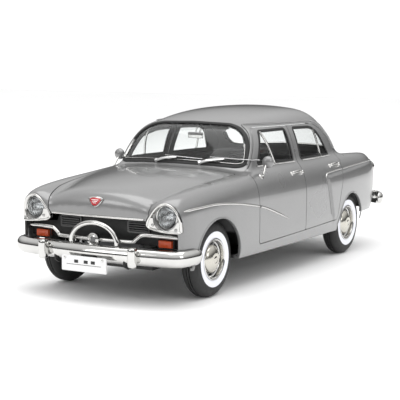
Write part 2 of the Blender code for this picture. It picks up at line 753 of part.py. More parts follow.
def wiper(name, pivot_x):
    """A parked wiper: its stem on the cowl, then the arm along the foot of the glass."""
    points = [(pivot_x, -57.4, 60.4), (pivot_x + 1.5, -56.9, 61.0)]
    for step in (8, 16, 24):
        x = pivot_x + step
        glass_y = skin_point((x, -40, 62), (0, -1, 0))[1]
        points.append((x, glass_y - 1.3, 62 + 0.03 * step))
    return tube(name, points, 0.5, steel())


def tail_and_screen():
    rear_bumper()
    for word, side in (("left", 1), ("right", -1)):
        tail_lamp(f"{word}_tail_lamp", side)
    wiper("left_wiper", 10.0)
    wiper("right_wiper", -15.0)


# ---------------------------------------------------------------- cabin


def cabin_tub():
    """Floor, firewall, seat pan and parcel shelf in one moulding."""
    outer = [(-58, 51), (-58, 31), (-47, 18), (50, 18), (60.5, 34), (66, 54.4), (74.5, 54.4)]
    inner = [(74.5, 56), (64.8, 56), (59, 34.6), (49, 19.6), (-46.3, 19.6), (-56.4, 31.5), (-56.4, 51)]
    tub = plate("cabin_tub", outer + inner, "X", -41, 41, material("tub", (0.05, 0.05, 0.055), 0.6))
    for side in (1, -1):
        cut(tub, box("wheel_space", (side * 45, 70, 40), (23, 50, 60)))
    return tub


def bench(name, base, half):
    """A bench seat: its cushion and back in one side outline."""
    outline = [(-24, 25), (-24, 32.6), (-21, 34.4), (-5, 33.2), (-1, 52), (1, 53.6), (4, 53.2), (5, 51),
               (1.5, 25)]
    placed = [(y + base, z) for y, z in outline]
    return plate(name, placed, "X", -half, half, material("trim", (0.11, 0.11, 0.115), 0.7), 0.8)


def dashboard():
    outline = [(-54, 44), (-54, 53), (-50, 54.4), (-44.5, 53), (-42.5, 49), (-44, 44)]
    return plate("dashboard", outline, "X", -35.5, 35.5, material("trim", (0.11, 0.11, 0.115), 0.7))


def steering_wheel():
    """Rim, two spokes, hub and column, turned about the column."""
    centre, axis = Vector(STEERING_CENTRE), Vector(STEERING_AXIS)
    ring_part = turned("steering_wheel", [(11.4, 0), (10.6, -0.8), (9.8, 0), (10.6, 0.8)], centre, axis,
                       material("wheel_rim", (0.06, 0.06, 0.06), 0.4), 20, closed=True)
    spokes = rod("spokes", centre - Vector((10.4, 0, 0)), centre + Vector((10.4, 0, 0)), 0.55, sides=6)
    column = rod("column", centre + axis * 1.2, centre - axis * 10.5, 1.2, sides=10)
    return join(ring_part, spokes, column)


def interior_mirror():
    glass = box("interior_mirror", (2.6, -37.4, 72.9), (9.0, 1.6, 3.2), steel(), 0.4)
    return join(glass, rod("mirror_stalk", (2.6, -37.0, 74.2), (2.6, -35.6, 76.2), 0.5, sides=8))


def interior():
    cabin_tub()
    bench("front_bench", 3.0, 33.0)
    bench("rear_bench", 50.0, 31.0)
    dashboard()
    steering_wheel()
    interior_mirror()


# ---------------------------------------------------------------- chassis and running gear


def chassis():
    """The base plate: narrow between the wheels, with its label pad, axle saddles and exhaust."""
    low, high = CHASSIS_Z, CHASSIS_Z + 1.6
    section = [(-116, low), (-116, high), (82.6, high), (86.4, 24.6), (107, 24.6), (107, 23.2), (87.4, 23.2),
               (83.6, low)]
    base = plate("chassis", section, "X", -40.5, 40.5, black())
    for side in (1, -1):
        cut(base, box("wheel_space", (side * 36, -109.4, 16), (20, 33.2, 20)))
        cut(base, box("wheel_space", (side * 36, -75.9, 16), (20, 23.8, 20)))
        cut(base, box("beam_end", (side * 44.2, -90, 16), (20, 12, 20)))
        cut(base, box("rear_space", (side * 43, 80, 20), (20, 67, 30)))
        join(base, box("saddle", (side * 29.5, REAR_AXLE_Y, 19), (3, 7, 5)))
        low_pin, high_pin = (side * KINGPIN_X, FRONT_AXLE_Y, 12), (side * KINGPIN_X, FRONT_AXLE_Y, 20)
        cut(base, rod("pin_hole", low_pin, high_pin, 1.15))
    join(base, box("label_pad", (0, 0, CHASSIS_Z), (16, 30, 1.2)))
    join(base, box("silencer", (-12, 24, 14.2), (7, 24, 3)))
    join(base, box("pipe", (-12, -20, 14.7), (2.2, 70, 1.6)))
    cut(base, rod("axle_hole", (-40, REAR_AXLE_Y, HUB_Z), (40, REAR_AXLE_Y, HUB_Z), 1.25))
    for y in SCREW_PLACES:
        cut(base, rod("screw_hole", (0, y, 10), (0, y, 20), 1.35))
    return base


def base_screw(name, y):
    profile = [(0, 0), (1.05, 0), (1.05, -2.8), (2.3, -2.8), (1.8, -4.1), (0, -4.1)]
    return turned(name, profile, (0, y, CHASSIS_Z + 2.5), (0, 0, 1), steel(), 10)


def engine():
    """Block, head and air cleaner, with the radiator in front on the fan's shaft."""
    look = material("engine", (0.20, 0.21, 0.22), 0.5, 0.6)
    block = box("engine", (0, -88, 32), (16, 32, 16), look, 0.8)
    join(block, box("head", (0, -88, 42.6), (9, 29, 6.4)))
    join(block, rod("air_cleaner", (0, -86, 45), (0, -86, 50.2), 7.0, sides=16))
    join(block, box("radiator", (0, -109.4, 33), (32, 3, 24)))
    join(block, rod("fan_shaft", (0, -109, 33), (0, -103, 33), 1.6, sides=8))
    join(block, box("front_foot", (0, -98.5, 20.6), (12, 7, 7.4)))
    return join(block, box("rear_foot", (0, -75, 20.6), (12, 5, 7.4)))


def knuckle(name, side):
    """A kingpin with the wheel's stub axle and the arm that the tie rod pushes."""
    x = side * KINGPIN_X
    pin = rod(name, (x, FRONT_AXLE_Y, 14.4), (x, FRONT_AXLE_Y, 21.6), 0.85, steel(), 8)
    join(pin, rod("boss", (x, FRONT_AXLE_Y, CHASSIS_Z + 1.9), (x, FRONT_AXLE_Y, 21.2), 1.5, sides=8))
    join(pin, rod("stub", (x, FRONT_AXLE_Y, HUB_Z), (side * 41.0, FRONT_AXLE_Y, HUB_Z), 0.95, sides=8))
    join(pin, box("arm", (x, FRONT_AXLE_Y + 5.0, 17.9), (1.5, 9.4, 1.3)))
    peg_y = FRONT_AXLE_Y + TIE_ROD_ARM
    return join(pin, rod("peg", (x, peg_y, 17.6), (x, peg_y, 20.8), 0.55, sides=8))


def tie_rod():
    """The bar that links both steering arms, slotted where their pegs pass."""
    y = FRONT_AXLE_Y + TIE_ROD_ARM
    bar = box("tie_rod", (0, y, 19.6), (64, 2.0, 1.3), steel())
    for side in (1, -1):
        join(bar, box("eye", (side * KINGPIN_X, y - 0.3, 19.6), (3.0, 4.6, 1.3)))
        cut(bar, box("slot", (side * KINGPIN_X, y - 0.3, 19.6), (1.8, 3.0, 4)))
    return bar


def wheel(name, side, y):
    """A chromed rim with its domed cap, and a whitewall tyre round it."""
    rim = [(0, 4.6), (3.8, 4.2), (7.0, 2.0), (8.3, 1.9), (9.9, 3.2), (9.4, 1.4), (9.8, -5.0), (8.4, -0.4),
           (2.4, -0.6), (2.4, -3.4), (1.25, -3.4), (1.25, 0.4), (0, 0.4)]
    centre = (side * WHEEL_CENTRE_X, y, HUB_Z)
    turned(name + "_rim", rim, centre, (side, 0, 0), chrome(), 13)
    outer, inner = TYRE_FACE_X - WHEEL_CENTRE_X, TYRE_BACK_X - WHEEL_CENTRE_X
    tread = TYRE_RADIUS
    tyre = [(10.5, outer - 0.9), (13.4, outer), (16.2, outer - 0.4), (tread, outer - 2.6),
            (tread, inner + 2.6), (16.2, inner + 0.4), (13.4, inner), (10.5, inner + 0.9)]
    look = material("tyre", (0.02, 0.02, 0.02), 0.75)
    turned(name + "_tyre", tyre, centre, (side, 0, 0), look, 20, closed=True)


def running_gear():
    chassis()
    for name, y in zip(("front_base_screw", "rear_base_screw"), SCREW_PLACES):
        base_screw(name, y)
    engine()
    tie_rod()
    rod("rear_axle", (-40.9, REAR_AXLE_Y, HUB_Z), (40.9, REAR_AXLE_Y, HUB_Z), 0.95, steel())
    for word, side in (("left", 1), ("right", -1)):
        knuckle(f"{word}_steering_knuckle", side)
        wheel(f"front_{word}", side, FRONT_AXLE_Y)
        wheel(f"rear_{word}", side, REAR_AXLE_Y)


def build():
    new_scene()
    shell = skin("skin", 0.0, WALL)
    pane = skin("pane_skin", 0.3, 0.8)
    thick = skin("bezel_skin", 0.0, 2.2)
    painted_panels(shell)
    glazing(pane)
    nose(thick)
    for used in (shell, pane, thick):
        bpy.data.objects.remove(used, do_unlink=True)
    door_trim()
    tail_and_screen()
    interior()
    running_gear()


build()
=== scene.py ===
"""Diecast collector car, 1:18: how the finished four-door saloon looks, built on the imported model.

Lengths are millimetres until a mesh is made. The nose points to -Y, the car's left side to +X, the floor is Z = 0.
"""

import math

import bmesh
import bpy
import numpy as np
from mathutils import Matrix, Vector


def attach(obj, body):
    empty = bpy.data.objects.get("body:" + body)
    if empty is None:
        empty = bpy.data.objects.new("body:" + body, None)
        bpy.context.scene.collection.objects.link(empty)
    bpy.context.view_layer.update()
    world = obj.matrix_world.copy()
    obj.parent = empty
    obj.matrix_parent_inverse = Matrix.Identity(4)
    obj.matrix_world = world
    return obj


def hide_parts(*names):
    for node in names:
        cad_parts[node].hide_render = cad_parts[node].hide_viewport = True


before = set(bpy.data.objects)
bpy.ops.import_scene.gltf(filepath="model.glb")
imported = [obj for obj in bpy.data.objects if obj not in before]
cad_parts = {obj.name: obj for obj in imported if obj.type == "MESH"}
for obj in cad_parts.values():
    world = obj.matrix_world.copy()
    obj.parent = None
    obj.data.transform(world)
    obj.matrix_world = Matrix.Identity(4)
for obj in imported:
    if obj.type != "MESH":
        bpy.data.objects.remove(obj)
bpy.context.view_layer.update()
MM = 0.001


# ---------------------------------------------------------------- camera
# A long lens looks down a little on the nose and the left side, with the car turned about thirty degrees.

EYE = Vector((319.2, -575.4, 111.7)) * MM
YAW, PITCH, ROLL = 0.52792, 0.11624, 0.00808

look = bpy.data.cameras.new("studio_camera")
look.sensor_width = 36.0
look.lens = 107.2
look.clip_start = 0.01
ahead = Vector((-math.sin(YAW) * math.cos(PITCH), math.cos(YAW) * math.cos(PITCH), -math.sin(PITCH)))
right = Vector((math.cos(YAW), math.sin(YAW), 0))
up = right.cross(ahead)
across = right * math.cos(ROLL) + up * math.sin(ROLL)
up = up * math.cos(ROLL) - right * math.sin(ROLL)
camera = bpy.data.objects.new("studio_camera", look)
camera.matrix_world = Matrix.Translation(EYE) @ Matrix((across, up, -ahead)).transposed().to_4x4()
bpy.context.scene.collection.objects.link(camera)
bpy.context.scene.camera = camera


# ---------------------------------------------------------------- studio
# A white table under one large overhead softbox and two weaker side ones. Polished parts see a dark band round
# the horizon under a pale ceiling, as in a tented studio, and the table stays evenly white.


def material(name, colour, roughness, metallic=0.0, **sockets):
    """A Principled material with plain values. Other sockets are named with underscores."""
    made = bpy.data.materials.new(name)
    made.use_nodes = True
    shader = made.node_tree.nodes["Principled BSDF"]
    shader.inputs["Base Color"].default_value = (*colour, 1.0)
    shader.inputs["Roughness"].default_value = roughness
    shader.inputs["Metallic"].default_value = metallic
    for socket, value in sockets.items():
        shader.inputs[socket.replace("_", " ")].default_value = value
    return made


def put(tree, kind, **values):
    """A new node. Each value sets the input of that name, or the node's own property."""
    node = tree.nodes.new(kind)
    for key, value in values.items():
        socket = node.inputs.get(key.replace("_", " "))
        if socket is None:
            setattr(node, key, value)
        else:
            socket.default_value = value
    return node


def group(name, inputs, outputs):
    """A node group with named value inputs and outputs, and its two end nodes."""
    tree = bpy.data.node_groups.new(name, "ShaderNodeTree")
    for socket, default in inputs.items():
        kind = "NodeSocketColor" if isinstance(default, tuple) else "NodeSocketFloat"
        made = tree.interface.new_socket(socket, in_out="INPUT", socket_type=kind)
        made.default_value = default
    for socket, kind in outputs.items():
        tree.interface.new_socket(socket, in_out="OUTPUT", socket_type=kind)
    return tree, tree.nodes.new("NodeGroupInput"), tree.nodes.new("NodeGroupOutput")


def use(made, effect, feeds, **values):
    """Places a group in a material with its own values, and wires its outputs to the shader."""
    tree = made.node_tree
    node = tree.nodes.new("ShaderNodeGroup")
    node.node_tree = effect
    for key, value in values.items():
        node.inputs[key.replace("_", " ")].default_value = value
    for output, socket in feeds.items():
        tree.links.new(node.outputs[output], tree.nodes["Principled BSDF"].inputs[socket])
    return made


# Mottle: the uneven tone and gloss that handling and drying leave on any finish.
MOTTLE, start, end = group(
    "mottle",
    {"Size": 60.0, "Dark": (0.5, 0.5, 0.5, 1.0), "Light": (0.6, 0.6, 0.6, 1.0), "Dull": 0.5, "Bright": 0.3},
    {"Tone": "NodeSocketColor", "Gloss": "NodeSocketFloat"},
)
spots = put(MOTTLE, "ShaderNodeTexNoise", Detail=5.0, Roughness=0.6)
tone = put(MOTTLE, "ShaderNodeMix", data_type="RGBA")
gloss = put(MOTTLE, "ShaderNodeMapRange", From_Min=0.3, From_Max=0.7)
spot_place = put(MOTTLE, "ShaderNodeTexCoord")
for a, b in (
    (spot_place.outputs["Object"], spots.inputs["Vector"]),
    (start.outputs["Size"], spots.inputs["Scale"]),
    (spots.outputs["Fac"], gloss.inputs["Value"]),
    (start.outputs["Bright"], gloss.inputs["To Min"]),
    (start.outputs["Dull"], gloss.inputs["To Max"]),
    (spots.outputs["Fac"], tone.inputs["Factor"]),
    (start.outputs["Dark"], tone.inputs["A"] if tone.inputs["A"].type == "RGBA" else tone.inputs[6]),
    (start.outputs["Light"], tone.inputs[7]),
    (tone.outputs[2], end.inputs["Tone"]),
    (gloss.outputs["Result"], end.inputs["Gloss"]),
):
    MOTTLE.links.new(a, b)


def mottled(made, size, dark, light, bright, dull):
    feeds = {"Tone": "Base Color", "Gloss": "Roughness"}
    return use(made, MOTTLE, feeds, Size=size, Dark=(*dark, 1), Light=(*light, 1), Bright=bright, Dull=dull)


table = bpy.data.meshes.new("studio_floor")
table.from_pydata([(-3, -3, 0), (3, -3, 0), (3, 3, 0), (-3, 3, 0)], [], [(0, 1, 2, 3)])
floor = bpy.data.objects.new("studio_floor", table)
bpy.context.scene.collection.objects.link(floor)
table.materials.append(mottled(material("white_table", (0.9, 0.9, 0.9), 0.5), 3, (0.88,) * 3, (0.9,) * 3, 0.55, 0.65))

world = bpy.data.worlds.new("studio_room")
bpy.context.scene.world = world
world.use_nodes = True
room = world.node_tree
back = room.nodes["Background"]
back.inputs["Strength"].default_value = 1.0
facing = put(room, "ShaderNodeTexCoord")
height = put(room, "ShaderNodeSeparateXYZ")
ramp = put(room, "ShaderNodeValToRGB")
for position, shade in ((0.0, 0.05), (0.12, 0.07), (0.26, 0.40), (0.5, 0.8)):
    stop = ramp.color_ramp.elements.new(position)
    stop.color = (shade, shade, shade, 1)
ramp.color_ramp.elements.remove(ramp.color_ramp.elements[0])
ramp.color_ramp.elements[-1].color = (1.0, 1.0, 1.0, 1)
seen = put(room, "ShaderNodeLightPath")
polished = put(room, "ShaderNodeMix", data_type="RGBA")
polished.inputs[6].default_value = (1.2, 1.2, 1.2, 1)
for a, b in (
    (facing.outputs["Generated"], height.inputs["Vector"]),
    (height.outputs["Z"], ramp.inputs["Fac"]),
    (ramp.outputs["Color"], polished.inputs[7]),
    (seen.outputs["Is Glossy Ray"], polished.inputs["Factor"]),
    (polished.outputs[2], back.inputs["Color"]),
):
    room.links.new(a, b)

SOFTBOXES = (
    ("overhead", (0.05, -0.05, 1.0), (0, 0, 0.04), 1.1, 6.0),
    ("left_side", (0.9, -0.35, 0.45), (0, 0, 0.04), 0.35, 0.7),
    ("nose_side", (-0.5, -1.0, 0.5), (0, 0, 0.04), 0.35, 0.9),
)
for name, where, target, size, power in SOFTBOXES:
    lamp = bpy.data.lights.new(name, "AREA")
    lamp.size = size
    lamp.energy = power
    box = bpy.data.objects.new(name, lamp)
    box.location = where
    box.rotation_euler = (Vector(target) - Vector(where)).to_track_quat("-Z", "Y").to_euler()
    bpy.context.scene.collection.objects.link(box)
bpy.context.scene.view_settings.view_transform = "Standard"


# ---------------------------------------------------------------- base plate
# One black moulding under the car, with a fine spark-eroded grain. Two plated screws hold it to the body, and a
# plated exhaust pipe is clipped along its underside.


def piece(name, points, faces, finish, body, slot, stands_for=(), sharp=35.0):
    """Makes a piece of the car from points in millimetres, gives it its finish and lets it ride on its body."""
    edit = bmesh.new()
    corners = [edit.verts.new(Vector(point) * MM) for point in points]
    for face in faces:
        if len(set(face)) > 2:
            edit.faces.new([corners[i] for i in face])
    bmesh.ops.remove_doubles(edit, verts=edit.verts, dist=2e-6)
    bmesh.ops.recalc_face_normals(edit, faces=edit.faces)
    mesh = bpy.data.meshes.new(name)
    edit.to_mesh(mesh)
    edit.free()
    mesh.shade_smooth()
    mesh.set_sharp_from_angle(angle=math.radians(sharp))
    return settle(bpy.data.objects.new(name, mesh), finish, body, stands_for)


def settle(obj, finish, body, stands_for=()):
    if obj.name not in bpy.context.scene.collection.objects:
        bpy.context.scene.collection.objects.link(obj)
    obj.data.materials.clear()
    obj.data.materials.append(finish)
    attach(obj, body)
    if stands_for:
        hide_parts(*stands_for)
    return obj


def refinish(node, finish):
    """Gives a CAD node that already has its true shape a better finish."""
    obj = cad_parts[node]
    for place in obj.material_slots:
        place.material = finish


def swept(path, profile, up=(0, 0, 1), closed=False):
    """Points and faces of a profile (sideways, upwards) carried along a path."""
    path = np.asarray(path, float)
    profile = np.asarray(profile, float)
    ups = np.broadcast_to(np.asarray(up, float), path.shape)
    if closed:
        run = np.roll(path, -1, axis=0) - np.roll(path, 1, axis=0)
    else:
        run = np.gradient(path, axis=0)
    run = run / np.linalg.norm(run, axis=1)[:, None]
    ups = ups - run * (ups * run).sum(1)[:, None]
    ups = ups / np.linalg.norm(ups, axis=1)[:, None]
    side = np.cross(run, ups)
    rings = path[:, None] + side[:, None] * profile[None, :, :1] + ups[:, None] * profile[None, :, 1:2]
    count, size = len(path), len(profile)
    faces = []
    for i in range(count if closed else count - 1):
        j = (i + 1) % count
        for k in range(size):
            m = (k + 1) % size
            faces.append((i * size + k, i * size + m, j * size + m, j * size + k))
    if not closed:
        faces += [tuple(range(size)), tuple(range((count - 1) * size, count * size))]
    return rings.reshape(-1, 3), faces


def round_bar(radius, sides=12, flat=1.0):
    turns = np.linspace(0, 2 * math.pi, sides, endpoint=False)
    return np.stack([np.cos(turns) * radius, np.sin(turns) * radius * flat], 1)


def curve_through(knots, count):
    """Evenly spaced points on a smooth curve through a few points."""
    knots = np.asarray(knots, float)
    padded = np.concatenate([[2 * knots[0] - knots[1]], knots, [2 * knots[-1] - knots[-2]]])
    fine = []
    for a, b, c, d in zip(padded, padded[1:], padded[2:], padded[3:]):
        t = np.linspace(0, 1, 24, endpoint=False)[:, None]
        fine.append(0.5 * (2 * b + (c - a) * t + (2 * a - 5 * b + 4 * c - d) * t**2 + (3 * b - a - 3 * c + d) * t**3))
    fine = np.concatenate([*fine, knots[-1:]])
    run = np.concatenate([[0], np.cumsum(np.linalg.norm(np.diff(fine, axis=0), axis=1))])
    even = np.linspace(0, run[-1], count)
    return np.stack([np.interp(even, run, fine[:, k]) for k in range(fine.shape[1])], 1)


# Moulded grain: a fine matt texture, as height for a bump.
GRAIN, start, end = group(
    "moulded_grain",
    {"Size": 2500.0, "Depth": 0.00003},
    {"Normal": "NodeSocketVector"},
)
cells = put(GRAIN, "ShaderNodeTexNoise", Detail=3.0, Roughness=0.7)
cell_place = put(GRAIN, "ShaderNodeTexCoord")
relief = put(GRAIN, "ShaderNodeBump", Strength=0.6)
for a, b in (
    (cell_place.outputs["Object"], cells.inputs["Vector"]),
    (start.outputs["Size"], cells.inputs["Scale"]),
    (start.outputs["Depth"], relief.inputs["Distance"]),
    (cells.outputs["Fac"], relief.inputs["Height"]),
    (relief.outputs["Normal"], end.inputs["Normal"]),
):
    GRAIN.links.new(a, b)


def grained(made, size, depth):
    return use(made, GRAIN, {"Normal": "Normal"}, Size=size, Depth=depth)


black_moulding = grained(
    mottled(material("black_moulding", (0.015, 0.015, 0.016), 0.5), 90, (0.010,) * 3, (0.022,) * 3, 0.42, 0.62),
    2600, 0.00004,
)
plated_steel = grained(
    mottled(material("plated_steel", (0.5, 0.5, 0.49), 0.3, 1.0), 220, (0.40,) * 3, (0.56, 0.56, 0.55), 0.22, 0.42),
    900, 0.00001,
)
refinish("chassis", black_moulding)
refinish("front_base_screw", plated_steel)
refinish("rear_base_screw", plated_steel)

PIPE_X = -12.0
pipe_line = curve_through([(PIPE_X, 38, 14.0), (PIPE_X, 46, 14.4), (PIPE_X - 6, 60, 17), (PIPE_X - 7, 76, 20.4),
                           (PIPE_X - 7, 100, 21.0), (PIPE_X - 7, 120, 20.6)], 40)
piece("tail_pipe", *swept(pipe_line, round_bar(1.1)), plated_steel, "car_body", "steel")
for x in (-30.5, 30.5):
    for layer in range(3):
        reach_y = 17 - 4 * layer
        leaf = [(x, 66.9 + y, 13.6 + layer * 0.75 + 4.0 * (y / 17) ** 2) for y in np.linspace(-reach_y, reach_y, 15)]
        name = f"{'left' if x > 0 else 'right'}_leaf_spring_{layer + 1}"
        piece(name, *swept(leaf, [(-1.4, 0), (1.4, 0), (1.4, 0.6), (-1.4, 0.6)]), black_moulding, "car_body", "black")


# ---------------------------------------------------------------- engine
# The block, head and radiator are one moulding sprayed aluminium grey. Its rocker cover bolts, hoses and fan are
# fitted on top as small parts.

engine_grey = grained(
    mottled(material("engine_grey", (0.2, 0.2, 0.21), 0.45, 0.6), 160, (0.13, 0.135, 0.14), (0.25,) * 3, 0.35, 0.6),
    1400, 0.00004,
)
refinish("engine", engine_grey)


def turned(profile, centre, axis, steps, closed=False):
    """Points and faces of a turned piece. The profile is (radius, height) along the axis."""
    axis = Vector(axis).normalized()
    first = axis.orthogonal().normalized()
    second = axis.cross(first)
    points, faces = [], []
    for i in range(steps):
        angle = 2 * math.pi * i / steps
        out = first * math.cos(angle) + second * math.sin(angle)
        points += [Vector(centre) + out * radius + axis * high for radius, high in profile]
    size = len(profile)
    for i in range(steps):
        j = (i + 1) % steps
        for k in range(size if closed else size - 1):
            m = (k + 1) % size
            faces.append((i * size + k, i * size + m, j * size + m, j * size + k))
    return points, faces


black_rubber = grained(
    mottled(material("black_rubber", (0.012,) * 3, 0.65), 400, (0.008,) * 3, (0.02,) * 3, 0.55, 0.75), 3000, 0.00003
)
for name, line in (
    ("top_hose", [(3, -108, 43), (6, -104, 46), (6, -100, 46.2), (3, -97, 44)]),
    ("bottom_hose", [(-8, -108, 24), (-10, -104, 22.8), (-8.5, -100, 24), (-7, -97, 27)]),
):
    piece(name, *swept(curve_through(line, 22), round_bar(1.1), (1, 0, 0.2)), black_rubber, "car_body", "black")
lid = [(0, 1.6), (1.0, 1.5), (1.1, 0.9), (5.6, 0.8), (6.6, 0.3), (6.9, 0)]
piece("air_cleaner_lid", *turned(lid, (0, -86, 50.2), (0, 0, 1), 40), black_moulding, "car_body", "black")
for x in (-3.2, 3.2):
    for y in (-99, -91, -77):
        cap = [(0, 0.7), (0.7, 0.7), (0.8, 0)]
        name = f"head_bolt_{'left' if x > 0 else 'right'}_{int(-y)}"
        piece(name, *turned(cap, (x, y, 45.8), (0, 0, 1), 12), plated_steel, "car_body", "steel")
blades, blade_faces = [], []
for i in range(4):
    turn = Matrix.Rotation(math.pi / 2 * i, 3, "Y")
    for point in ((-1.4, -0.6, 1.4), (1.4, 0.6, 1.4), (2.2, 0.7, 8.2), (-2.2, -0.7, 8.2)):
        blades.append(Vector((0, -105.2, 33)) + turn @ Vector(point))
    blade_faces.append(tuple(range(4 * i, 4 * i + 4)))
fan = piece("cooling_fan", blades, blade_faces, plated_steel, "car_body", "steel")
thick = fan.modifiers.new("sheet", "SOLIDIFY")
thick.thickness = 0.5 * MM


# ---------------------------------------------------------------- axles and steering
# Turned and pressed steel parts, plated and left bare. The tie rod's slots pass the steering arms' pegs.

for node in ("rear_axle", "left_steering_knuckle", "right_steering_knuckle", "tie_rod"):
    refinish(node, plated_steel)


# ---------------------------------------------------------------- wheels
# A soft black vinyl tyre with a printed white sidewall band, a plated rim with a slotted disc between ring and cap,
# its dark grey painted shade for the shadowed gap there, and a domed cap pressed into its middle.

tyre_black = grained(
    mottled(material("tyre_vinyl", (0.014,) * 3, 0.6), 500, (0.009,) * 3, (0.022,) * 3, 0.5, 0.72), 3500, 0.00004
)
white_band = grained(
    mottled(material("white_sidewall", (0.8, 0.81, 0.86), 0.5), 200, (0.72, 0.73, 0.78), (0.84, 0.85, 0.9), 0.42, 0.6),
    1500, 0.00001,
)
chrome = grained(
    mottled(material("chrome_plate", (0.66, 0.655, 0.64), 0.08, 1.0), 140, (0.58, 0.575, 0.56),
            (0.72, 0.715, 0.70), 0.04, 0.12),
    260, 0.00001,
)
warm_chrome = grained(
    mottled(material("hub_cap_chrome", (0.62, 0.60, 0.54), 0.15, 1.0), 300, (0.52, 0.50, 0.45),
            (0.68, 0.66, 0.60), 0.10, 0.24),
    500, 0.00002,
)
# Wheel disc: dark grey that is painted shade for the gap between rim ring and cap. The medallion centre uses the same
# material.
dark_disc = mottled(material("wheel_disc", (0.16,) * 3, 0.4, 0.7), 500, (0.10,) * 3, (0.24,) * 3, 0.3, 0.5)

WHEEL_X, FRONT_AXLE_Y, REAR_AXLE_Y, HUB_Z = 41.0, -90.3, 66.9, 18.36
TYRE = [(10.0, 2.6), (10.6, 3.35), (12.0, 3.7), (13.5, 3.8), (15.2, 3.62), (16.6, 3.1), (17.5, 2.3), (18.0, 1.6),
        (18.3, 0.7), (18.3, 0.3), (17.7, 0.2), (17.7, -0.1), (18.36, -0.2), (18.36, -1.1), (17.7, -1.2), (17.7, -1.5),
        (18.3, -1.6), (18.3, -2.4), (18.0, -3.1), (17.4, -4.1), (16.2, -5.0), (13.4, -5.6), (10.5, -4.7)]
BAND = [(10.0, 2.9), (10.25, 3.5), (11.0, 3.78), (12.2, 3.92), (13.1, 3.94), (13.3, 3.8), (13.2, 3.3), (11.0, 3.0)]
RIM = [(9.85, 3.1), (10.15, 3.3), (10.0, 3.75), (9.6, 3.9), (9.1, 3.6), (8.75, 2.6), (8.7, 1.6), (8.3, 1.2),
       (9.0, 0.2), (9.7, -4.8), (10.4, -5.0), (10.3, 2.6)]
CAP = [(0, 4.5), (1.2, 4.48), (1.6, 4.3), (1.9, 4.42), (3.4, 4.16), (4.9, 3.6), (5.9, 2.95), (6.5, 2.3), (6.75, 1.7),
       (6.8, 1.1), (6.2, 1.0)]


def slotted_disc(centre, out):
    """The dished disc behind the cap, with ten slots left open."""
    radii = [2.0, 6.3, 6.9, 7.4, 8.0, 8.5, 9.4]
    highs = [-0.2, 0.9, 1.35, 1.45, 1.35, 1.0, 0.2]
    turns, size = 80, len(radii)
    points, faces = [], []
    for i in range(turns):
        angle = 2 * math.pi * i / turns
        for radius, high in zip(radii, highs):
            spot = (out * high, radius * math.cos(angle), radius * math.sin(angle))
            points.append(Vector(centre) + Vector(spot))
    for i in range(turns):
        for k in range(size - 1):
            if k in (2, 3) and i % 8 in (1, 2, 3, 4, 5):
                continue
            j = (i + 1) % turns
            faces.append((i * size + k, i * size + k + 1, j * size + k + 1, j * size + k))
    return points, faces


for end_word, y in (("front", FRONT_AXLE_Y), ("rear", REAR_AXLE_Y)):
    for side_word, out in (("left", 1), ("right", -1)):
        name = f"{end_word}_{side_word}"
        body = f"{name}_wheel" if end_word == "front" else "rear_wheels"
        centre, axis = (out * WHEEL_X, y, HUB_Z), (out, 0, 0)
        piece(f"{name}_tyre_carcass", *turned(TYRE, centre, axis, 96, True), tyre_black, body, "tyre",
              (f"{name}_tyre",), 40)
        piece(f"{name}_white_band", *turned(BAND, centre, axis, 96, True), white_band, body, "tyre")
        piece(f"{name}_rim_ring", *turned(RIM, centre, axis, 96, True), chrome, body, "chrome", (f"{name}_rim",))
        piece(f"{name}_hub_cap", *turned(CAP, centre, axis, 64), warm_chrome, body, "chrome")
        disc = piece(f"{name}_slotted_disc", *slotted_disc(centre, out), dark_disc, body, "chrome")
        sheet = disc.modifiers.new("sheet", "SOLIDIFY")
        sheet.thickness = 0.4 * MM
        hub = [(0, -0.4), (2.4, -0.4), (2.4, -3.4), (0, -3.4)]
        piece(f"{name}_hub", *turned(hub, centre, axis, 32), plated_steel, body, "steel")


# ---------------------------------------------------------------- cabin
# A dark grey moulded floor tub carries two bench seats with pressed pleats, the dashboard and its dials, the thin
# rimmed steering wheel and the mirror stuck to the windscreen header.

tub_grey = grained(
    mottled(material("tub_grey", (0.03,) * 3, 0.6), 120, (0.02,) * 3, (0.038,) * 3, 0.5, 0.7), 1600, 0.00006
)
seat_grey = grained(
    mottled(material("seat_grey", (0.04,) * 3, 0.55), 150, (0.028,) * 3, (0.05,) * 3, 0.42, 0.62),
    1900, 0.00006,
)
refinish("cabin_tub", tub_grey)


def bench_seat(name, base, half):
    """A bench whose cushion and back are pressed into pleats, with rounded ends and a raised piping line."""
    outline = curve_through([(-24, 25.4), (-24.2, 29), (-23.6, 32.6), (-21, 34.6), (-13, 34.3), (-6.4, 34.0),
                             (-4.6, 36.6), (-3, 44), (-1.6, 50.6), (0.6, 53.3), (3.2, 53.3), (4.7, 51), (4.2, 44),
                             (2.8, 34), (1.5, 25.4)], 72)
    middle = np.array([-7.0, 31.0])
    xs = np.linspace(-half, half, 141)
    points = []
    for x in xs:
        pleat = abs(math.sin(math.pi * x / 4.6)) ** 0.45
        edge = max(0.0, abs(x) - half + 1.6) / 1.6
        shrink = 1.5 * edge**2 + 0.5 * (1 - pleat)
        for y, z in outline:
            pull = np.array([y, z]) - middle
            pull = pull / np.linalg.norm(pull)
            depth = shrink if -23 < y < 2.5 and z > 30 else 1.5 * edge**2
            points.append((x, base + y - pull[0] * depth, z - pull[1] * depth))
    size, faces = len(outline), []
    for i in range(len(xs) - 1):
        for k in range(size):
            m = (k + 1) % size
            faces.append((i * size + k, i * size + m, (i + 1) * size + m, (i + 1) * size + k))
    faces += [tuple(range(size)), tuple(range((len(xs) - 1) * size, len(xs) * size))]
    return piece(f"{name}_pleated", points, faces, seat_grey, "car_body", "trim", (name,), 50)


bench_seat("front_bench", 3.0, 33.0)
bench_seat("rear_bench", 50.0, 31.0)

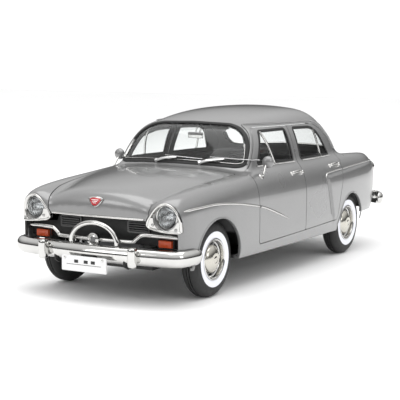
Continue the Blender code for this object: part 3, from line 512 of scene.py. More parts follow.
dash_line = [(x, -48.6 - 0.9 * (x / 35) ** 2, 49) for x in np.linspace(-35.2, 35.2, 31)]
dash_section = [(-5.2, -5), (-5.2, 3.8), (-4.2, 4.7), (-1.2, 5.3), (1.8, 5.0), (4.0, 3.6), (5.2, 1.0), (5.6, -1.6),
                (4.6, -4.4), (3.6, -5)]
dash_section = [(-side, high) for side, high in dash_section]
piece("dashboard_top", *swept(dash_line, dash_section), seat_grey, "car_body", "trim", ("dashboard",), 45)
for x in (11.5, 16, 20.5):
    dial = [(0, 0.3), (1.5, 0.3), (1.6, 0.9), (1.95, 0.8), (2.0, 0)]
    piece(f"dial_{int(x)}", *turned(dial, (x, -43.4, 50.6), (0, 1, 0.25), 28), chrome, "car_body", "chrome")
strip = [(x, -42.9 - 0.9 * (x / 35) ** 2, 47.0) for x in np.linspace(-33, 8, 21)]
piece("dashboard_strip", *swept(strip, round_bar(0.32, 8)), chrome, "car_body", "chrome")

rim_black = grained(
    mottled(material("wheel_rim_black", (0.03,) * 3, 0.3), 260, (0.02,) * 3, (0.04,) * 3, 0.25, 0.4), 1200, 0.00002
)
STEER_CENTRE, STEER_AXIS = Vector((16.0, -31.0, 50.0)), Vector((0.0, 0.8, 0.6))
grip = [(10.6 + 0.75 * math.cos(t), 0.75 * math.sin(t)) for t in np.linspace(0, 2 * math.pi, 12, endpoint=False)]
piece("steering_wheel_rim", *turned(grip, STEER_CENTRE, STEER_AXIS, 64, True), rim_black, "steering_wheel",
      "rim_grip", ("steering_wheel",))
horn = [(6.6 + 0.3 * math.cos(t), 0.9 + 0.3 * math.sin(t)) for t in np.linspace(0, 2 * math.pi, 8, endpoint=False)]
piece("horn_ring", *turned(horn, STEER_CENTRE, STEER_AXIS, 48, True), chrome, "steering_wheel", "chrome")
boss = [(0, 1.9), (1.4, 1.7), (2.1, 1.1), (2.3, 0.2), (1.3, -0.6), (1.2, -10.5), (0, -10.5)]
piece("wheel_boss", *turned(boss, STEER_CENTRE, STEER_AXIS, 28), rim_black, "steering_wheel", "rim_grip")
for word, sign in (("left", 1), ("right", -1)):
    arm = [STEER_CENTRE + Vector((sign * u, 0, 0)) + STEER_AXIS * h for u, h in ((1.5, 0.7), (6, 0.5), (10.5, 0))]
    piece(f"{word}_wheel_spoke", *swept(arm, round_bar(0.6, 8, 0.6), STEER_AXIS), chrome, "steering_wheel", "chrome")

mirror_outline = [(-4.4, -0.9), (-4.1, -1.5), (4.1, -1.5), (4.4, -0.9), (4.4, 0.9), (4.1, 1.5), (-4.1, 1.5), (-4.4, 0.9)]
mirror_rings = []
for y, size in ((-38.2, 0.86), (-37.8, 1.0), (-37.0, 1.0), (-36.6, 0.94)):
    mirror_rings += [(2.6 + u * size, y, 72.9 + v * size) for u, v in mirror_outline]
mirror_faces = [tuple(range(8)), tuple(range(24, 32))]
for i in range(3):
    mirror_faces += [(8 * i + k, 8 * i + (k + 1) % 8, 8 * i + 8 + (k + 1) % 8, 8 * i + 8 + k) for k in range(8)]
piece("cabin_mirror", mirror_rings, mirror_faces, chrome, "car_body", "steel", ("interior_mirror",))
stalk = curve_through([(2.6, -37.2, 74.2), (2.4, -36.4, 75.8), (2.4, -34.4, 77.6)], 12)
piece("cabin_mirror_stalk", *swept(stalk, round_bar(0.45, 8), (1, 0, 0)), plated_steel, "car_body", "steel")


# ---------------------------------------------------------------- body shell
# The painted zinc casting: wings, roof, sills and tail in one piece, 1.2 mm thick, sprayed metallic silver grey
# and lacquered. A field describes its skin: negative inside, zero on the surface.


def spline(*knots):
    """A natural cubic curve through (position, value) knots."""
    place = np.array([knot[0] for knot in knots], float)
    value = np.array([knot[1] for knot in knots], float)
    count, step = len(place), np.diff(place)
    rows, wanted = np.eye(count), np.zeros(count)
    for i in range(1, count - 1):
        rows[i, i - 1 : i + 2] = step[i - 1], 2 * (step[i - 1] + step[i]), step[i]
        wanted[i] = 6 * ((value[i + 1] - value[i]) / step[i] - (value[i] - value[i - 1]) / step[i - 1])
    bend = np.linalg.solve(rows, wanted)

    def at(x):
        x = np.clip(x, place[0], place[-1])
        i = np.clip(np.searchsorted(place, x) - 1, 0, count - 2)
        before, behind, h = place[i + 1] - x, x - place[i], step[i]
        curved = (bend[i] * before**3 + bend[i + 1] * behind**3) / (6 * h)
        return curved + (value[i] / h - bend[i] * h / 6) * before + (value[i + 1] / h - bend[i + 1] * h / 6) * behind

    return at


half_width = spline((-127, 43.2), (-118, 45.4), (-105, 46.6), (-85, 47.2), (-50, 47.6), (0, 47.9), (40, 47.5),
                    (67, 46.6), (90, 45.0), (108, 42.6), (120, 39.5))
crest = spline((-127, 48.0), (-118, 50.0), (-105, 51.8), (-85, 53.4), (-60, 55.0), (-35, 56.5), (0, 57.6),
               (40, 58.2), (70, 58.3), (95, 57.4), (110, 56.2), (120, 54.5))
crest_inset = spline((-127, 7.2), (-115, 8.2), (-90, 8.5), (-40, 7.5), (80, 7.5), (120, 6.5))
crest_radius = spline((-127, 9.0), (-110, 11.0), (-80, 14.0), (-40, 15.0), (60, 14.0), (90, 10.0), (120, 7.0))
deck = spline((-130, 46.5), (-122, 50.6), (-112, 53.2), (-95, 55.6), (-75, 57.3), (-50, 58.9), (0, 59.5),
              (60, 60.0), (76, 59.4), (90, 57.2), (104, 53.6), (114, 50.0), (122, 46.5))
deck_drop = spline((-130, 4.6), (-115, 4.6), (-95, 3.8), (-70, 3.0), (-45, 2.6), (70, 2.2), (90, 3.0), (120, 3.0))
deck_half = spline((-130, 27.0), (-100, 31.0), (-50, 37.0), (70, 36.0), (120, 33.0))
roof = spline((-60, 70.0), (-42, 77.4), (-32, 80.6), (-15, 84.2), (5, 86.4), (25, 87.1), (42, 86.4), (56, 83.6),
              (68, 79.0), (80, 72.0))
nose_line = spline((0, -124.5), (12, -124.2), (20, -123.6), (26, -123.1), (30, -123.4), (34, -124.4),
                   (38, -124.5), (43, -123.5), (50, -122.1))
glass_half = spline((-60, 37.8), (-40, 39.6), (-15, 41.0), (20, 41.4), (45, 40.4), (65, 38.2), (80, 36.0))
SILL_Z, SPINE_Z, SPINE_FRONT, SPINE_BACK = 15.6, 24.0, -92.0, 80.0


def blend_low(a, b, width):
    """The lower of two fields, with a fillet."""
    near = np.maximum(width - np.abs(a - b), 0) / width
    return np.minimum(a, b) - near**3 * width / 6


def blend_high(a, b, width):
    return -blend_low(-a, -b, width)


def eased_step(t):
    t = np.clip(t, 0, 1)
    return t * t * (3 - 2 * t)


def rear_wing(y, z):
    """How far the rear wing stands proud of the doors, behind and below its bead."""
    behind = eased_step((y - 31.0 - (50.0 - z) * 0.33) / 2.2)
    below = eased_step((49.0 + (y - 33.0) * 0.045 - z) / 2.0)
    return 0.75 * behind * below * eased_step((z - 20.0) / 8.0 + 0.2)


def lower_body(x, y, z):
    out = np.sqrt(x * x + 0.25)
    side = out - half_width(y) - rear_wing(y, z) + 0.011 * np.maximum(27 - z, 0) ** 2
    side = side + 0.016 * np.maximum(z - 41, 0) ** 2
    wing = crest(y) - (out - half_width(y) + crest_inset(y)) ** 2 / (2 * crest_radius(y))
    middle = deck(y) - deck_drop(y) * (out / deck_half(y)) ** 2.4
    top = z - blend_high(wing, middle, 2.2)
    nose = nose_line(out) - y + 0.028 * np.maximum(z - 43, 0) ** 2 + 0.012 * np.maximum(30 - z, 0) ** 2
    tail = y - 121.0 + 0.0026 * x * x + 0.022 * (z - 43.5) ** 2
    solid = blend_high(blend_high(side, top, 7.0), nose, 6.0)
    return blend_high(blend_high(solid, tail, 6.0), SILL_Z - z, 1.2)


def cabin(x, y, z):
    rise = np.maximum(z, 52.0) - 58.0
    side = np.abs(x) - glass_half(y) + 0.185 * rise + 0.0065 * rise * rise
    top = z - roof(y) + 0.0030 * x * x
    front = 0.70 * rise + 0.0052 * x * x - 55.4 - y
    rear = y - 79.0 + rise + 0.0060 * x * x
    solid = blend_high(blend_high(side, top, 13.0), 0.82 * front, 7.0)
    return np.maximum(blend_high(solid, 0.72 * rear, 9.0), 46.0 - z)


def field(x, y, z):
    return blend_low(lower_body(x, y, z), cabin(x, y, z), 4.5)


def reach(origin, direction, far=130.0):
    """How far each ray runs from a point inside the body to its skin."""
    low, high = np.zeros(len(origin)), np.full(len(origin), far)
    for _ in range(36):
        middle = (low + high) / 2
        inside = field(*(origin + direction * middle[:, None]).T) < 0
        low, high = np.where(inside, middle, low), np.where(inside, high, middle)
    return low


def outward(points):
    """The skin's normals at points on or near it."""
    steps = np.eye(3) * 0.02
    slope = np.stack([field(*(points + move).T) - field(*(points - move).T) for move in steps], 1)
    return slope / np.linalg.norm(slope, axis=1)[:, None]


def skin_rings(sides=150, cap=26, bay=150):
    """The whole skin as rings from nose to tail, each evenly spaced right round the body."""
    tilt = np.radians(np.concatenate([np.linspace(-88, -3.4, cap), np.zeros(bay), np.linspace(3.4, 88, cap)]))
    spine = np.concatenate([np.full(cap, SPINE_FRONT), np.linspace(SPINE_FRONT, SPINE_BACK, bay),
                            np.full(cap, SPINE_BACK)])

    def cast(angle):
        flat, lean = np.cos(tilt)[:, None], np.sin(tilt)[:, None]
        rays = np.stack([np.cos(angle) * flat, lean + 0 * angle, np.sin(angle) * flat], -1).reshape(-1, 3)
        origin = np.stack([0 * angle, spine[:, None] + 0 * angle, SPINE_Z + 0 * angle], -1).reshape(-1, 3)
        return (origin + rays * reach(origin, rays)[:, None]).reshape(*angle.shape, 3)

    fan_angles = np.linspace(-math.pi / 2, math.pi / 2, 261)
    rough = cast(np.tile(fan_angles, (len(tilt), 1)))
    even = []
    for row in rough:
        run = np.concatenate([[0], np.cumsum(np.linalg.norm(np.diff(row, axis=0), axis=1))])
        even.append(np.interp(np.linspace(0, run[-1], sides + 1), run, fan_angles))
    half = cast(np.array(even))
    half[:, [0, -1], 0] = 0
    return np.concatenate([half, half[:, -2:0:-1] * [-1, 1, 1]], 1)


SKIN = skin_rings()
POLES = np.array([[0, SPINE_FRONT, SPINE_Z], [0, SPINE_BACK, SPINE_Z]], float)
POLES += np.array([[0, -1, 0], [0, 1, 0]]) * reach(POLES, np.array([[0, -1.0, 0], [0, 1.0, 0]]))[:, None]


def skin_surface(depth, turned_in):
    """Points and faces of the skin moved in by a depth, and closed at both poles."""
    count, size = SKIN.shape[:2]
    points = np.concatenate([SKIN.reshape(-1, 3), POLES])
    points = points - outward(points) * depth
    faces = []
    for i in range(count - 1):
        for k in range(size):
            m = (k + 1) % size
            faces.append((i * size + k, i * size + m, (i + 1) * size + m, (i + 1) * size + k))
    for row, pole, step in ((0, count * size, -1), (count - 1, count * size + 1, 1)):
        for k in range(size):
            m = (k + 1) % size
            ends = (row * size + k, row * size + m)
            faces.append((*(ends if step > 0 else ends[::-1]), pole))
    return points, [face[::-1] for face in faces] if turned_in else faces


def shell(name, depth, thickness):
    """A closed sheet that follows the skin, its outer side at a depth."""
    outer, outer_faces = skin_surface(depth, True)
    inner, inner_faces = skin_surface(depth + thickness, False)
    offset = len(outer)
    mesh = bpy.data.meshes.new(name)
    faces = outer_faces + [tuple(i + offset for i in face) for face in inner_faces]
    mesh.from_pydata((np.concatenate([outer, inner]) * MM).tolist(), [], faces)
    obj = bpy.data.objects.new(name, mesh)
    bpy.context.scene.collection.objects.link(obj)
    obj.hide_render = True
    return obj


def eased(outline, radius, steps=6):
    """The outline with its corners rounded. Shallow corners, which trace a curve, are rounded as far as they go."""
    points = [Vector(point) for point in outline]
    made = []
    for before, here, after in zip(points[-1:] + points[:-1], points, points[1:] + points[:1]):
        first, second = before - here, after - here
        turn = first.angle(second)
        if turn > 3.12:
            made.append(here)
            continue
        bend = (60.0 if turn > 2.35 else radius) / math.tan(turn / 2)
        run = min(bend, first.length * 0.49, second.length * 0.49)
        one, two = here + first.normalized() * run, here + second.normalized() * run
        for i in range(steps + 1):
            t = i / steps
            made.append(one * (1 - t) ** 2 + here * 2 * t * (1 - t) + two * t**2)
    return made


def inset(outline, distance):
    """The outline moved inwards by a distance, corner by corner."""
    points = [Vector(point) for point in outline]
    area = sum(a.x * b.y - b.x * a.y for a, b in zip(points, points[1:] + points[:1]))
    side = 1 if area > 0 else -1
    moved = []
    for before, here, after in zip(points[-1:] + points[:-1], points, points[1:] + points[:1]):
        first, second = (here - before).normalized(), (after - here).normalized()
        bisector = Vector((-(first.y + second.y), first.x + second.x)).normalized() * side
        slope = bisector.dot(Vector((-first.y, first.x)) * side)
        moved.append(here + bisector * (distance / max(slope, 0.4)))
    return moved


def mirrored(outline):
    return list(outline) + [(-u, v) for u, v in reversed(outline[1:-1])]


def on_side(outline, sign):
    return [(sign * u, v) for u, v in outline]


def prism(outline, axis, low, high):
    """A cutter: an outline run along one axis. X takes (y, z), Y takes (x, z) and Z takes (x, y)."""
    spots = {"X": lambda u, v, w: (w, u, v), "Y": lambda u, v, w: (u, w, v), "Z": lambda u, v, w: (u, v, w)}[axis]
    edit = bmesh.new()
    ends = [[edit.verts.new(Vector(spots(u, v, w)) * MM) for u, v in outline] for w in (low, high)]
    count = len(outline)
    edit.faces.new(ends[0])
    edit.faces.new(ends[1][::-1])
    for i in range(count):
        j = (i + 1) % count
        edit.faces.new((ends[0][j], ends[0][i], ends[1][i], ends[1][j]))
    bmesh.ops.recalc_face_normals(edit, faces=edit.faces)
    return cutter(edit)


def cutter(edit):
    mesh = bpy.data.meshes.new("cutter")
    edit.to_mesh(mesh)
    edit.free()
    obj = bpy.data.objects.new("cutter", mesh)
    bpy.context.scene.collection.objects.link(obj)
    obj.hide_render = True
    return obj


def trimmed(source, keep=(), cut=()):
    """A copy of a solid, kept inside some cutters and cut by others, which are then thrown away."""
    obj = bpy.data.objects.new("work", source.data)
    bpy.context.scene.collection.objects.link(obj)
    tools = [(tool, "INTERSECT") for tool in keep] + [(tool, "DIFFERENCE") for tool in cut]
    for tool, operation in tools:
        change = obj.modifiers.new(operation, "BOOLEAN")
        change.operation = operation
        change.solver = "MANIFOLD"
        change.object = tool
    bpy.context.view_layer.update()
    mesh = bpy.data.meshes.new_from_object(obj.evaluated_get(bpy.context.evaluated_depsgraph_get()))
    bpy.data.objects.remove(obj, do_unlink=True)
    for tool, _ in tools:
        bpy.data.objects.remove(tool, do_unlink=True)
    return mesh


def skinned(mesh):
    """Gives faces that lie along the skin the skin's own normals, so that the panel shades as one smooth sheet."""
    count = len(mesh.vertices)
    places = np.empty(count * 3)
    mesh.vertices.foreach_get("co", places)
    normals = outward(places.reshape(-1, 3) / MM)
    owner = np.empty(len(mesh.loops), int)
    mesh.loops.foreach_get("vertex_index", owner)
    flat = np.empty(len(mesh.polygons) * 3)
    mesh.polygons.foreach_get("normal", flat)
    sizes = np.empty(len(mesh.polygons), int)
    mesh.polygons.foreach_get("loop_total", sizes)
    flat = np.repeat(flat.reshape(-1, 3), sizes, axis=0)
    along = normals[owner]
    agree = (along * flat).sum(1)[:, None]
    mesh.shade_smooth()
    mesh.normals_split_custom_set(np.where(agree > 0.8, along, np.where(agree < -0.8, -along, flat)).tolist())
    return mesh


def panel(name, mesh, finish, body, stands_for=()):
    mesh.name = name
    return settle(bpy.data.objects.new(name, skinned(mesh)), finish, body, stands_for)


# Metal flake: fine random sparkle in the base coat, and the lacquer's faint orange peel.
FLAKE, start, end = group(
    "metal_flake",
    {"Flakes": 7000.0, "Shade": (0.3, 0.3, 0.3, 1.0), "Glint": (0.4, 0.4, 0.4, 1.0), "Peel": 0.000004},
    {"Colour": "NodeSocketColor", "Gloss": "NodeSocketFloat", "Normal": "NodeSocketVector"},
)
flake_place = put(FLAKE, "ShaderNodeTexCoord")
flakes = put(FLAKE, "ShaderNodeTexVoronoi")
clouds = put(FLAKE, "ShaderNodeTexNoise", Scale=26.0, Detail=3.0)
ripple = put(FLAKE, "ShaderNodeTexNoise", Scale=700.0, Detail=2.0)
mix = put(FLAKE, "ShaderNodeMix", data_type="RGBA")
bright = put(FLAKE, "ShaderNodeSeparateColor")
blend = put(FLAKE, "ShaderNodeMath", operation="MULTIPLY_ADD")
blend.inputs[1].default_value = 0.45
dull = put(FLAKE, "ShaderNodeMapRange", To_Min=0.24, To_Max=0.34)
peel = put(FLAKE, "ShaderNodeBump", Strength=1.0)
for a, b in (
    (flake_place.outputs["Object"], flakes.inputs["Vector"]),
    (flake_place.outputs["Object"], clouds.inputs["Vector"]),
    (flake_place.outputs["Object"], ripple.inputs["Vector"]),
    (start.outputs["Flakes"], flakes.inputs["Scale"]),
    (flakes.outputs["Color"], bright.inputs["Color"]),
    (bright.outputs["Red"], blend.inputs[0]),
    (clouds.outputs["Fac"], blend.inputs[2]),
    (blend.outputs["Value"], mix.inputs["Factor"]),
    (start.outputs["Shade"], mix.inputs[6]),
    (start.outputs["Glint"], mix.inputs[7]),
    (mix.outputs[2], end.inputs["Colour"]),
    (clouds.outputs["Fac"], dull.inputs["Value"]),
    (dull.outputs["Result"], end.inputs["Gloss"]),
    (start.outputs["Peel"], peel.inputs["Distance"]),
    (ripple.outputs["Fac"], peel.inputs["Height"]),
    (peel.outputs["Normal"], end.inputs["Normal"]),
):
    FLAKE.links.new(a, b)

silver_paint = use(
    material("silver_grey_paint", (0.3, 0.3, 0.3), 0.3, 0.45, Coat_Weight=0.8, Coat_Roughness=0.06),
    FLAKE, {"Colour": "Base Color", "Gloss": "Roughness", "Normal": "Normal"},
    Shade=(0.18, 0.18, 0.18, 1), Glint=(0.26, 0.26, 0.26, 1), Peel=0.000003,
)

SHUT_GAP, GAP, WALL = 0.42, 0.3, 1.2
DOOR_SPLIT_Y, BONNET_LIP_Z, BOOT_LIP_Z = 3.8, 38.9, 33.0
LAMP_X, LAMP_Z = 37.2, 41.3
DOOR_FRONT = [(-50.3, 40), (-50.0, 22), (-48.4, 20.3)]
DOOR_REAR = [(45.2, 22.4), (47.8, 30), (50.5, 38), (53.5, 46), (57.6, 55), (58.8, 60.5), (54, 68.2), (43.5, 75.4),
             (35, 77.8)]
DOOR_PILLAR = [(-28.5, 77.8), (-32, 76.0), (-45.0, 58.8), (-51.6, 55.6)]
FRONT_WINDOW = [(-38.6, 59.2), (-27.6, 75.2), (-26, 76.2), (-1, 76.4), (0.2, 75.4), (0.6, 60.2), (-0.4, 59.1)]
REAR_WINDOW = [(9.6, 59.1), (8.9, 60.3), (8.9, 75.4), (10.1, 76.4), (31, 76.0), (36.5, 74.4), (40.5, 71.4),
               (47.9, 60.4), (47, 59.2)]
SCREEN = mirrored([(0, 59.8), (20, 59.4), (33.4, 58.6), (36.2, 59.3), (37.1, 61.2), (36.7, 66), (35.1, 73),
                   (33.5, 76.2), (30.6, 78.0), (20, 79.4), (0, 80.0)])
BEHIND_SCREEN = [(-49.0, 55), (-35.2, 76), (-31.5, 80.4), (-10, 82), (-10, 50)]
BACKLIGHT = mirrored([(0, 62.0), (28, 61.3), (33.2, 62.2), (34.6, 65.5), (33.2, 73), (30.6, 76.8), (26, 78.2),
                      (0, 79.2)])
BONNET = mirrored([(0, -140), (26.4, -140), (27.6, -126), (30.4, -119), (33.0, -110), (34.5, -97), (35.6, -80),
                   (36.8, -64), (37.3, -57.6), (36.2, -55.6), (20, -58.8), (0, -60.4)])
BOOT = mirrored([(0, 80.6), (24, 81.2), (29.6, 83.6), (31, 88), (31, 135), (0, 135)])
BEZEL = [(27.3, 39.3), (30.2, 43.2), (33.0, 46.6), (36.8, 48.2), (40.6, 47.2), (43.4, 44.4), (44.8, 40.2),
         (44.9, 34.0), (38, 34.4), (29.0, 35.3), (27.0, 36.6)]
GRILLE = mirrored([(0, 40.2), (24, 40.0), (27.6, 40.0), (27.8, 38.4), (29.2, 36.2), (43.2, 35.0), (43.6, 33),
                   (43.6, 27), (42.6, 26.2), (0, 26.2)])

DOORWAY = eased([*DOOR_FRONT, *DOOR_REAR, *DOOR_PILLAR], 1.5)
SCREEN_EDGE, BACKLIGHT_EDGE = eased(SCREEN, 2.0), eased(BACKLIGHT, 2.0)
BONNET_EDGE, BOOT_EDGE, BEZEL_EDGE = eased(BONNET, 2.0), eased(BOOT, 2.0), eased(BEZEL, 1.2)
FRONT_WINDOW_EDGE, REAR_WINDOW_EDGE = eased(FRONT_WINDOW, 1.2), eased(REAR_WINDOW, 1.2)
GRILLE_EDGE = eased(GRILLE, 0.8)


def span(side, near=25.0, far=60.0):
    return (near, far) if side > 0 else (-far, -near)


def circle(centre, radius, start=0.0, end=360.0, count=72):
    turns = np.radians(np.linspace(start, end, count, endpoint=end - start < 359))
    return [(centre[0] + radius * math.cos(t), centre[1] + radius * math.sin(t)) for t in turns]


def block(low, high):
    (x, y, z), (u, v, w) = low, high
    return prism([(x, y), (u, y), (u, v), (x, v)], "Z", z, w)


def screen_cutter(margin=0.0):
    """The windscreen's outline run through the nose, and stopped short of the front pillars."""
    front = prism(inset(SCREEN_EDGE, margin), "Y", -80, -26)
    mesh = trimmed(front, cut=[prism(inset(BEHIND_SCREEN, -margin), "X", -60, 60)])
    bpy.data.objects.remove(front, do_unlink=True)
    obj = bpy.data.objects.new("cutter", mesh)
    bpy.context.scene.collection.objects.link(obj)
    obj.hide_render = True
    return obj


FRONT_ARCH, REAR_ARCH = (FRONT_AXLE_Y + 1.0, 17.3, 20.6), (REAR_AXLE_Y + 0.3, 17.5, 18.5)


def arch_cutter(arch):
    y, z, radius = arch
    return prism([*circle((y, z), radius, 0, 180, 60), (y - radius, 5), (y + radius, 5)], "X", -60, 60)


skin_shell = shell("skin_shell", 0.0, WALL)
openings = [
    prism(BONNET_EDGE, "Z", BONNET_LIP_Z - 0.6, 75), prism(BOOT_EDGE, "Z", BOOT_LIP_Z, 75),
    screen_cutter(), prism(BACKLIGHT_EDGE, "Y", 56, 90), prism(GRILLE_EDGE, "Y", -140, -105),
    arch_cutter(FRONT_ARCH), arch_cutter(REAR_ARCH),
    block((-43, -117, 5), (43, 113, 18.5)), block((-55, 84, 1), (55, 140, 23)), block((-55, -138, 4), (55, -110, 19.5)),
]
for side in (1, -1):
    openings.append(prism(DOORWAY, "X", *span(side)))
    openings.append(prism(on_side(BEZEL_EDGE, side), "Y", -140, -114))
    openings.append(prism(circle((side * 36.5, 47), 4.0), "Y", 105, 130))
panel("painted_shell", trimmed(skin_shell, cut=openings), silver_paint, "car_body", ("body_shell",))


def from_inside(origins, direction, lift=0.0):
    """Points where rays from inside meet the skin, with the skin's normals there."""
    origins = np.asarray(origins, float)
    rays = np.broadcast_to(np.asarray(direction, float), origins.shape)
    points = origins + rays * reach(origins, rays)[:, None]
    normals = outward(points)
    return points + normals * lift, normals


def side_line(line, side, lift=0.0):
    points, normals = from_inside([(0, y, z) for y, z in line], (1, 0, 0), lift)
    return points * [side, 1, 1], normals * [side, 1, 1]


def strip(name, line, width, height, finish, body, slot, closed=False, sink=0.3):
    """A domed strip laid on the skin along a line of (points, normals)."""
    points, normals = line
    half = width / 2
    section = [(-half, -sink), (-half, height * 0.35), (-half * 0.7, height * 0.8), (-half * 0.3, height),
               (half * 0.3, height), (half * 0.7, height * 0.8), (half, height * 0.35), (half, -sink)]
    return piece(name, *swept(points, section, normals, closed), finish, body, slot, (), 50)


BEAD_UP = [(38.0, 26.4), (36.2, 33), (33.4, 41), (31.4, 47.4)]
BEAD_BACK = [(31.4, 47.4), (31.6, 48.4), (32.6, 49.3), (35, 50.0), (45, 50.6), (59, 50.9), (70, 51.3), (81, 51.6),
             (93, 51.8), (106, 51.9), (112, 51.8)]
RAIL = [(-45.4, 60.0), (-38.6, 69.0), (-33.0, 76.6), (-30.6, 78.6), (-26, 79.1), (10, 79.2), (35, 79.1),
        (44.4, 76.6), (50, 72.9), (55.2, 68.6), (59.4, 62.6)]
for word, side in (("left", 1), ("right", -1)):
    for tag, arch in (("front", FRONT_ARCH), ("rear", REAR_ARCH)):
        y, z, radius = arch
        lip = side_line(circle((y, z), radius + 0.35, 4, 176, 60), side)
        strip(f"{word}_{tag}_arch_lip", lip, 0.8, 0.35, silver_paint, "car_body", "paint")
    strip(f"{word}_drip_rail", side_line(curve_through(RAIL, 120), side), 0.9, 0.75, silver_paint, "car_body", "paint")

# The pressed inner wings and wheel housings, sprayed black, close the arches off from the cabin and the engine.
for word, side in (("left", 1), ("right", -1)):
    for tag, y, radius, inner in (("front", FRONT_AXLE_Y, 22.8, 29.0), ("rear", REAR_AXLE_Y, 20.4, 33.9)):
        section = [(0.6, 0), (0.6, -15), (0, -15), (0, 0.6), (7, 0.6), (7, 0)]
        arc = circle((y, HUB_Z), radius, 28, 152, 40)
        points, faces = [], []
        rows = [(side * inner, 0.55), (side * inner, 1.0), (side * 45.2, 1.0)]
        for u, v in arc:
            for x, share in rows:
                points.append((x, y + (u - y) * share, HUB_Z + (v - HUB_Z) * share))
        for i in range(len(arc) - 1):
            for k in range(2):
                faces.append((3 * i + k, 3 * i + k + 1, 3 * i + k + 4, 3 * i + k + 3))
        housing = piece(f"{word}_{tag}_wheel_housing", points, faces, black_moulding, "car_body", "black")
        sheet = housing.modifiers.new("sheet", "SOLIDIFY")
        sheet.thickness = 0.5 * MM

# Sill plates and door posts that the doors close on.
for word, side in (("left", 1), ("right", -1)):
    post = [(side * 43.2, 3.8, 21), (side * 43.4, 3.8, 49), (side * 39.4, 4.0, 58), (side * 37.7, 4.2, 64.5),
            (side * 33.6, 4.4, 76.3)]
    piece(f"{word}_door_post", *swept(curve_through(post, 24), [(-2.4, -0.8), (2.4, -0.8), (2.4, 0.8), (-2.4, 0.8)],
                                      (side, 0, 0.2)), silver_paint, "car_body", "paint")
    sill = [(side * 43.0, y, 19.6) for y in np.linspace(-47, 44, 20)]
    piece(f"{word}_sill_plate", *swept(sill, [(-2.6, -0.9), (2.6, -0.9), (2.6, 0.5), (-2.6, 0.5)]), black_moulding,
          "car_body", "black")


# ---------------------------------------------------------------- windscreen and rear window
# Clear acrylic panes pushed into black rubber channels from inside, with a thin plated strip let into the rubber.

clear_acrylic = use(
    material("clear_acrylic", (0.97, 0.985, 0.98), 0.02, 0.0, Transmission_Weight=1.0, IOR=1.35),
    MOTTLE, {"Gloss": "Roughness"}, Size=45.0, Bright=0.0, Dull=0.03,
)
pane_shell = shell("pane_shell", 0.3, 0.8)
panel("windscreen_pane", trimmed(pane_shell, keep=[screen_cutter(GAP)]), clear_acrylic, "car_body",
      ("windscreen",))
pane = trimmed(pane_shell, keep=[prism(inset(BACKLIGHT_EDGE, GAP), "Y", 56.4, 90)])
panel("rear_pane", pane, clear_acrylic, "car_body", ("rear_window",))


def even_loop(points, count):
    points = np.asarray([tuple(point) for point in points], float)
    points = np.concatenate([points, points[:1]])
    run = np.concatenate([[0], np.cumsum(np.linalg.norm(np.diff(points, axis=0), axis=1))])
    even = np.linspace(0, run[-1], count, endpoint=False)
    return np.stack([np.interp(even, run, points[:, k]) for k in range(points.shape[1])], 1)


def pillar_line(z, margin):
    """How far back the windscreen opening may reach at a height, in the side view."""
    edge = np.array(BEHIND_SCREEN[:3])
    return np.interp(z, edge[:, 1], edge[:, 0]) - margin


def screen_line(margin, count=220):
    """The windscreen opening's edge on the skin."""
    loop = even_loop(inset(SCREEN_EDGE, margin), count)
    points, _ = from_inside([(x, -25, z) for x, z in loop], (0, -1, 0))
    limit = pillar_line(points[:, 2], margin)
    wide, _ = from_inside([(0, y, z) for y, z in zip(limit, points[:, 2])], (1, 0, 0))
    wide = wide * np.sign(points[:, :1]) ** [1, 0, 0]
    points = np.where((points[:, 1] > limit)[:, None], wide, points)
    return points, outward(points)


def back_line(margin, count=200):
    loop = even_loop(inset(BACKLIGHT_EDGE, margin), count)
    return from_inside([(x, 50, z) for x, z in loop], (0, 1, 0))


def below(line, height):
    """The stretch of a closed line that runs under a height, from one side to the other."""
    points, normals = line
    turn = -int(np.argmax(points[:, 2]))
    points, normals = np.roll(points, turn, axis=0), np.roll(normals, turn, axis=0)
    low = points[:, 2] < height
    return points[low], normals[low]


strip("windscreen_rubber", screen_line(0.25), 2.3, 0.55, black_rubber, "car_body", "black", True, 1.0)
strip("windscreen_bright_strip", below(screen_line(1.2), 70), 0.5, 0.85, chrome, "car_body", "chrome", False, 0.2)
strip("rear_window_rubber", back_line(0.25), 2.2, 0.55, black_rubber, "car_body", "black", True, 1.0)
strip("rear_window_bright_strip", below(back_line(1.2), 72), 0.5, 0.8, chrome, "car_body", "chrome", False, 0.2)


# ---------------------------------------------------------------- bonnet
# A separate casting hinged under the windscreen, with a plated strip along its lip and an enamel shield on its nose.

lid_edges = [prism(inset(on_side(BEZEL_EDGE, side), -SHUT_GAP), "Y", -140, -112) for side in (1, -1)]
lid = trimmed(skin_shell, keep=[prism(inset(BONNET_EDGE, SHUT_GAP), "Z", BONNET_LIP_Z, 75)], cut=lid_edges)
panel("bonnet_panel", lid, silver_paint, "bonnet", ("bonnet",))

lip = from_inside([(x, -100, 39.4) for x in np.linspace(-25.9, 25.9, 60)], (0, -1, 0))
strip("bonnet_lip_strip", lip, 1.15, 0.6, chrome, "bonnet", "chrome")

red_enamel = mottled(material("red_enamel", (0.4, 0.02, 0.03), 0.2, 0.0, Coat_Weight=0.9), 900, (0.27, 0.012, 0.018),
                     (0.5, 0.03, 0.035), 0.16, 0.26)
SHIELD = mirrored([(0, -2.7), (1.8, -2.0), (3.6, 0.2), (4.2, 1.5), (2.6, 2.3), (0, 2.5)])
shield_edge = eased(SHIELD, 0.8)
foot, away = from_inside([(0, -100, 40)], (0, -0.96867, 0.24847))
foot, away = Vector(foot[0]), Vector(away[0])
badge_up = (Vector((0, 0, 1)) - away * away.z).normalized()
badge_right = badge_up.cross(away)


